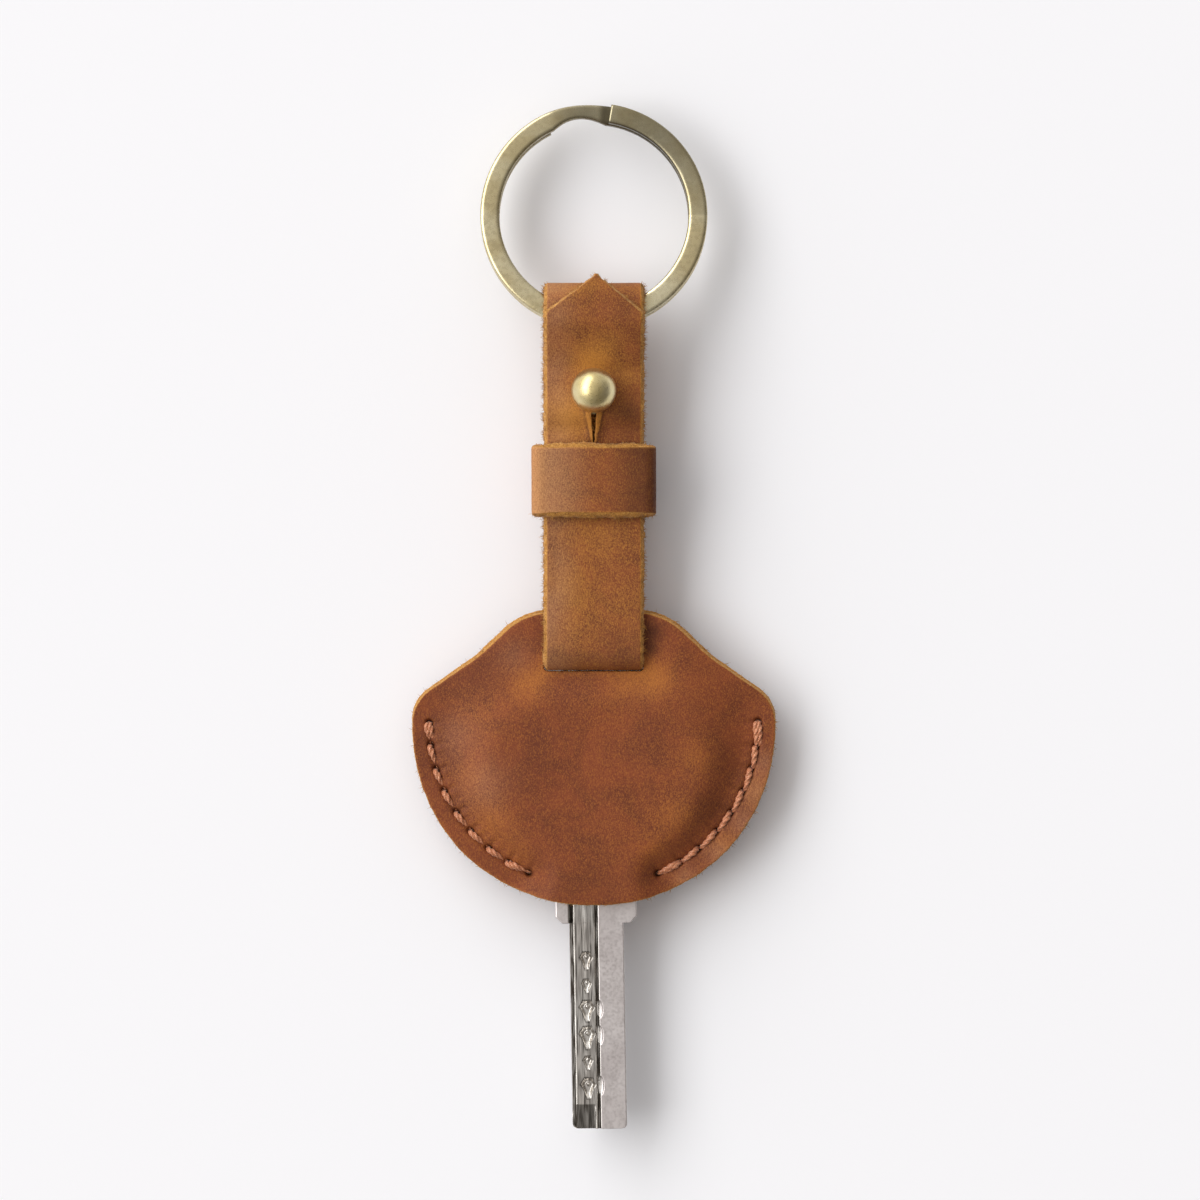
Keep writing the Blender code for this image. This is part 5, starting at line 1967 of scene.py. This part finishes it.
@dataclass
class Seams:
    """Both saddle-stitched seams of the pocket. A stitch is drawn from hole to hole, at shares of
    its length, with its rise over the groove and its share of the full thickness there."""

    pocket: Pocket
    thread: Thread
    thick: float = 0.38
    thin: float = 0.14
    right_thick: float = 0.40
    right_thin: float = 0.28
    back_radius: float = 0.22
    lane: float = 0.22
    twin: float = 0.24
    groove_floor: float = 0.25
    upper_part: tuple = (
        (0.03, -1.0, 0.7), (0.06, -0.45, 0.9), (0.15, 0.02, 1.0), (0.30, 0.10, 1.0)
    )
    left_rises: tuple = (-0.06, -0.34, -0.60, -0.8)
    right_rises: tuple = (0.08, 0.02, -0.14, -0.55)
    lower_part: tuple = ((0.48, 0.7), (0.66, 0.4), (0.82, 0.15), (0.92, 0.0))
    end_part: tuple = (0.97, -1.0, 0.0)
    bed_share: float = 0.35
    back_gap: float = 0.02
    back_level: float = 0.30
    back_slope: float = 1.2
    smoothing: int = 5

    def stitch(self, side: Side, start: float, end: float, lane: float, front: bool) -> Array:
        """One stitch from hole to hole.

        Args:
            side: Which seam.
            start: The turn of its upper hole.
            end: The turn of its lower hole.
            lane: Moves the whole stitch to the right.
            front: True on the front of the pocket, False on its back.

        Returns:
            Rows of X, Y, Z and radius.
        """
        left = side is Side.LEFT
        thick, thin = (self.thick, self.thin) if left else (self.right_thick, self.right_thin)
        slant = self.lane if front else -self.lane
        rises = self.left_rises if left else self.right_rises
        lower = [(share, rise, swell) for (share, swell), rise in zip(self.lower_part, rises)]
        made = []
        for share, rise, swell in (*self.upper_part, *lower, self.end_part):
            turn = start + (end - start) * share
            x = side.value * CUT.seam_radius * math.cos(turn) + lane + slant * (2 * share - 1)
            y = -CUT.seam_radius * math.sin(turn)
            radius = thin + (thick - thin) * swell if front else self.back_radius
            if front:
                level = self.surface(x, y) + rise + radius * self.bed_share
            else:
                level = max(radius + self.back_gap, self.back_level - rise * self.back_slope)
            made.append((x, y, level, radius))
        return eased(made, self.smoothing)

    def surface(self, x: float, y: float) -> float:
        """The groove's floor, without the awl holes."""
        level = float(self.pocket.front_level(np.array(x), np.array(y)))
        return level + CUT.thick - self.groove_floor

    def build(self) -> None:
        """Makes both threads. The first and the last stitch are sewn twice."""
        for side in Side:
            turns = self.pocket.hole_turns(side)
            lines = []
            for index, (start, end) in enumerate(zip(turns, turns[1:])):
                ends = index in (0, len(turns) - 2)
                for lane in (-self.twin, self.twin) if ends else (0.0,):
                    lines.append(self.stitch(side, start, end, lane, True))
                lines.append(self.stitch(side, start, end, 0.0, False))
            name = f"{side.name.lower()}_seam_thread"
            obj = self.thread.lay(name + "_twisted", lines)
            settle(obj, Body.POCKET, "thread", name)


@dataclass
class Key:
    """The dimple key: a flat nickel-silver key, milled and pitted the same way on both faces."""

    finishes: Finishes
    bow_half_x: float = 13.0
    bow_half_y: float = 9.0
    bow_y: float = -7.5
    low: float = 1.7
    thick: float = 2.3
    lean: float = math.radians(1)
    neck_half: float = 5.75
    neck_y: float = -28.3
    neck_chamfer: float = 0.9
    blade_half: float = 3.84
    tip_y: float = -57.3
    tip_radius: float = 0.7
    least_half: float = 0.3
    edge_break: float = 0.12
    hole_radius: float = 3.5
    hole_rise: float = 4.2
    hole_step: float = 0.12
    hole_cut: tuple = (0.0, 6.0)
    # The chamfer's dark tone is a painted dark reflection; the side groove, the pit rims and the
    # tip's ramp get painted shade.
    chamfer_width: float = 0.65
    chamfer_drop: float = 0.55
    chamfer_dark: float = 0.68
    wall_ease: float = 0.12
    groove_ease: float = 0.14
    least_cut: float = 0.02
    edge_drop: float = 0.8
    track_depth: float = 0.28
    track_end: float = 4.05
    track_top_y: float = -22.3
    track_top_ease: float = 0.8
    groove_start: float = 3.52
    groove_drop: float = 0.42
    groove_dark: float = 0.75
    rib_rise: float = 0.05
    rib_lines: tuple = ((0.94, 0.35), (1.77, 0.45), (2.95, 0.45))
    rib_half: float = 0.09
    streak_mm: float = 0.16
    streak_length: float = 2.6
    streak_dark: float = 0.52
    streak_middle: float = 0.45
    streaks: tuple = (1.0, 71.0, 1.5)
    rib_streak: float = 0.4
    pit_line: float = 2.32
    pit_depth: float = 0.60
    pit_tail: float = 0.95
    pit_wall: float = 2.2
    pit_slope: float = 0.866
    pit_narrowing: float = 0.5
    pit_rim: tuple = (0.86, 1.16, 0.1)
    pit_rim_dark: float = 0.45
    pit_stub: float = 0.55
    pit_stub_half: float = 0.42
    pit_stub_top: float = 0.6
    pit_stub_drop: float = 0.1
    pits: tuple = (
        (-33.2, 0.84), (-36.85, 0.66), (-40.2, 1.0), (-43.95, 1.06), (-47.7, 0.66), (-51.1, 0.98)
    )
    scoop_line: float = 4.1
    scoops: tuple = ((-40.45, 1.2), (-44.1, 1.3), (-51.2, 1.3))
    scoop_half: float = 0.42
    scoop_depth: float = 0.35
    scoop_step: float = 0.1
    ramp_y: float = -53.8
    ramp_drop: float = 0.6
    ramp_reach: float = 3.3
    ramp_ease: float = 0.15
    ramp_dark: float = 0.6
    ramp_streak: float = 0.35
    fine_from: float = -16.0
    fine: float = 0.1
    coarse: float = 0.6
    columns: int = 100

    def half_width(self, along: Array) -> Array:
        """Half of the key's width.

        Args:
            along: Distances along it from the middle of its bow.

        Returns:
            Half widths in millimetres.
        """
        bow = self.bow_half_x * np.sqrt(np.clip(1 - (along / self.bow_half_y) ** 2, 0, 1))
        below = along - (self.neck_y - self.bow_y)
        chamfer = np.clip(below, 0, self.neck_chamfer) - self.neck_chamfer
        stem = np.where(below < 0, self.blade_half, self.neck_half + chamfer)
        to_tip = np.clip(along - (self.tip_y - self.bow_y), 0, self.tip_radius)
        corner = self.tip_radius - np.sqrt(
            self.tip_radius**2 - (self.tip_radius - to_tip) ** 2
        )
        return np.where(along > 0, bow, np.maximum(bow, stem - corner))

    def tracks(self, across: Array, y: Array, live: Array, streak: Array) -> tuple[Array, Array]:
        """The chamfer, the two tracks with the rib between them, and the side groove.

        Args:
            across: Distance from the blade's left edge.
            y: Place along the key.
            live: 1 where the key is milled at all.
            streak: How dark the cutter's lines are.

        Returns:
            The change of height, and how dark the metal is there: the cutter's streaks and rib
            lines, painted shade in the side groove and a painted dark reflection on the chamfer.
        """
        chamfer = np.clip(1 - across / self.chamfer_width, 0, 1) * self.chamfer_drop
        inside = smooth((self.track_end - across) / self.wall_ease)
        groove = smooth((across - self.groove_start) / self.groove_ease) * inside
        rib = self.rib_rise * smooth(1 - np.abs(across - self.pit_line) / 0.5)
        floor = (self.track_depth - rib) * inside + self.groove_drop * groove
        # Painted shade in the side groove, a painted dark reflection on the chamfer, and the
        # cutter's streaks.
        dark = live * (
            self.groove_dark * groove + self.chamfer_dark * (chamfer > self.least_cut)
            + self.streak_dark * streak * inside
        )
        for line, strength in self.rib_lines:
            rib = bell(across - line, self.rib_half, strength)
            dark += live * rib * (self.rib_streak + streak)
        return -live * (floor + chamfer), dark

    def relief(self, across: Array, y: Array) -> tuple[Array, Array]:
        """How the milling shapes the front face.

        Args:
            across: Distance from the blade's left edge.
            y: Place along the key, in the pocket's frame when the key is straight.

        Returns:
            The change of height, and how dark the metal is there: the cutter's streaks, painted
            shade in the side groove, round the pits and on the tip's ramp, and a painted dark
            reflection on the chamfer.
        """
        live = smooth((self.track_top_y - y) / self.track_top_ease) * (across > -0.01)
        grained = np.stack([across / self.streak_mm, y / self.streak_length, 0 * y], -1)
        streak = smooth(self.streak_middle + rough(grained, *self.streaks))
        change, dark = self.tracks(across, y, live, streak)
        rim_low, rim_high, rim_ease = self.pit_rim
        for place, radius in self.pits:
            down, aside = place - y, across - self.pit_line
            stretch = np.where(down > 0, 1 / (1 + self.pit_tail), 1.0)
            taper = 1 + self.pit_narrowing * np.clip(down / radius, 0, 3)
            u, v = np.abs(aside * taper) / radius, np.abs(down * stretch) / radius
            far = np.maximum(self.pit_slope * u + 0.5 * v, v)
            depth = np.clip(self.pit_wall * (1 - far), 0, 1) * self.pit_depth * radius
            from_stub = np.abs(aside) + np.abs(down + self.pit_stub_drop)
            stub = np.clip(1 - from_stub / (self.pit_stub_half * radius), 0, self.pit_stub_top)
            depth = depth - self.pit_stub * stub * radius
            pitted = np.minimum(change, -live * (self.track_depth + depth))
            change = np.where(far < 1, pitted, change)
            # Painted shade round each pit's rim.
            rim = smooth((far - rim_low) / rim_ease) * smooth((rim_high - far) / rim_ease)
            dark = np.where(far < 1.0, 0.0, dark) + self.pit_rim_dark * rim * live
        for place, half in self.scoops:
            far = np.hypot((across - self.scoop_line) / self.scoop_half, (y - place) / half)
            scoop = np.sqrt(np.clip(1 - far**2, 0, 1))
            scooped = -self.scoop_depth * scoop - self.scoop_step * (scoop > 0)
            change = np.minimum(change, scooped)
            dark = dark * (scoop == 0)
        ramp = np.clip((self.ramp_y - y) / (self.ramp_y - self.tip_y), 0, 1)
        ramp = ramp * smooth((self.ramp_reach - across) / self.ramp_ease)
        # Painted shade on the tip's ramp, with the cutter's streaks.
        ramped = (self.ramp_dark + self.ramp_streak * streak) * (ramp > self.least_cut)
        dark = np.maximum(dark, ramped)
        return change - self.ramp_drop * ramp, dark

    def stations(self) -> Array:
        """Distances along the key from the middle of its bow, from its top to its tip.

        Returns:
            The distances, in order.
        """
        tip, shoulder = self.tip_y - self.bow_y, self.neck_y - self.bow_y
        along = np.concatenate([
            np.arange(self.bow_half_y - 0.02, self.fine_from, -self.coarse),
            np.arange(self.fine_from, tip, -self.fine),
            [shoulder + 1e-4, shoulder - 1e-4, tip + 0.2, tip + 0.05, tip],
        ])
        return np.array(sorted(set(along.tolist()), reverse=True))

    def build(self) -> None:
        """Makes the key."""
        along = self.stations()
        half = np.maximum(self.half_width(along), self.least_half)[:, None]
        inset, middle = self.edge_break, self.thick / 2
        u = np.linspace(-1, 1, self.columns) * (half - inset)
        y = along[:, None] + self.bow_y + 0 * u
        change, dark = self.relief(u + self.blade_half, y)
        other, other_dark = self.relief(self.blade_half - u, y)
        left, right, flat = -half, half, 0 * half
        x = np.hstack([u, right, right, u[:, ::-1], left, left])
        z = np.hstack([
            change + middle, change[:, -1:] + middle - inset, -(other[:, -1:] + middle - inset),
            -(other[:, ::-1] + middle), -(other[:, :1] + middle - inset),
            np.maximum(change[:, :1], -self.edge_drop) + middle - inset,
        ])
        shade = np.hstack([dark, flat, flat, other_dark[:, ::-1], flat, flat])
        edge = np.hstack([u, right, right, -u[:, ::-1], left, left]) + self.blade_half
        along = along[:, None] + 0 * x
        cosine, sine = math.cos(self.lean), math.sin(self.lean)
        points = np.stack([
            x * cosine - along * sine, x * sine + along * cosine + self.bow_y,
            z + self.low + middle,
        ], -1)
        milled = (edge > -0.2) & (edge < self.track_end) & (along < self.track_top_y - self.bow_y)
        obj = loft("dimple_key", points, milled[:-1])
        paint(obj, "shade", shade.ravel())
        dressed(obj, self.finishes.nickel, self.finishes.milled)
        ring = circle((0, self.bow_y + self.hole_rise), self.hole_radius, self.hole_step)
        cut(obj, prism("key_hole_cutter", ring, *self.hole_cut, self.finishes.nickel))
        settle(obj, Body.KEY, "key_nickel", "key")


@dataclass
class Studio:
    """The camera, the lamp, the world and the pale table."""

    camera_mm: tuple = (0.874, 2.183, 600.0)
    frame_mm: float = 169.0
    frame_level_mm: float = 4.0
    sensor_mm: float = 36.0
    lamp_from: tuple = (-3765.0, 2636.0, 3857.0)
    lamp_length: float = 12000.0
    lamp_width: float = 3400.0
    lamp_watts: float = 410.0
    table: str = "#F6F6F9"
    table_roughness: float = 0.9
    table_shine: float = 0.1
    table_level_mm: float = -3.5
    table_reach_mm: float = 1500.0
    towards_window: tuple = (-0.82, 0.57, 0.0)
    room: tuple = (
        (0.0, "#66625E"), (0.3, "#999693"), (0.5, "#CBC8C6"), (0.75, "#F0EEEC"), (1.0, "#FFFFFF")
    )
    fill: float = 0.98
    mirrored: float = 1.0

    def camera(self) -> None:
        """Sets the camera straight above, as in the photograph."""
        data = bpy.data.cameras.new("camera")
        data.sensor_width = self.sensor_mm
        data.lens = self.sensor_mm * (self.camera_mm[2] - self.frame_level_mm) / self.frame_mm
        obj = shown("camera", data)
        obj.location = Vector(self.camera_mm) * MM
        bpy.context.scene.camera = obj

    def lamp(self) -> None:
        """Sets one wide window of light at the upper left."""
        data = bpy.data.lights.new("window", "AREA")
        data.shape = "RECTANGLE"
        data.size, data.size_y = self.lamp_length * MM, self.lamp_width * MM
        data.energy = self.lamp_watts
        obj = shown("window", data)
        obj.location = Vector(self.lamp_from) * MM
        back = obj.location.normalized()
        side = (Vector((0, 1, 0)) - back * back.y).normalized()
        obj.rotation_euler = Matrix((side, back.cross(side), back)).transposed().to_euler()

    def world(self) -> None:
        """Fills the room with soft light that is stronger towards the window."""
        world = bpy.data.worlds.new("room")
        bpy.context.scene.world = world
        world.use_nodes = True
        tree = world.node_tree
        tree.nodes.clear()
        direction = add(tree, "ShaderNodeTexCoord").outputs["Generated"]
        facing = add(
            tree, "ShaderNodeVectorMath", {0: direction, 1: self.towards_window},
            operation="DOT_PRODUCT",
        )
        share = add(
            tree, "ShaderNodeMapRange", {"Value": facing.outputs["Value"], "From Min": -1.0}
        )
        room = add(
            tree, "ShaderNodeValToRGB", {"Fac": share.outputs["Result"]}, stops=self.room
        )
        glossy = add(tree, "ShaderNodeLightPath").outputs["Is Glossy Ray"]
        strength = add(
            tree, "ShaderNodeMapRange",
            {"Value": glossy, "To Min": self.fill, "To Max": self.mirrored},
        )
        background = add(
            tree, "ShaderNodeBackground",
            {"Color": room.outputs["Color"], "Strength": strength.outputs["Result"]},
        )
        add(tree, "ShaderNodeOutputWorld", {"Surface": background.outputs["Background"]})

    def floor(self) -> None:
        """Lays the pale table under the piece."""
        material, _, shader = new_surface("table_paper")
        plug(shader, {
            "Base Color": linear(self.table), "Roughness": self.table_roughness,
            "Specular IOR Level": self.table_shine,
        })
        reach, level = self.table_reach_mm, self.table_level_mm
        corners = [(-reach, -reach), (reach, -reach), (reach, reach), (-reach, reach)]
        obj = mesh_object("table", [(x, y, level) for x, y in corners], [(0, 1, 2, 3)])
        dressed(obj, material)

    def build(self) -> None:
        """Sets up the whole studio."""
        bpy.context.scene.view_settings.view_transform = "Standard"
        self.camera()
        self.lamp()
        self.world()
        self.floor()


def main() -> None:
    """Builds every piece in order."""
    logging.basicConfig(level=logging.INFO, format="%(name)s %(message)s")
    Studio().build()
    finishes = Finishes()
    thread = Thread(finishes)
    fray = Fray(finishes)
    pocket = Pocket(finishes, fray)
    pocket.build()
    Seams(pocket, thread).build()
    Strap(finishes, fray).build()
    Keeper(finishes, fray).build()
    BallStud(finishes).build()
    SplitRing(finishes).build()
    Key(finishes).build()


if __name__ == "__main__":
    main()
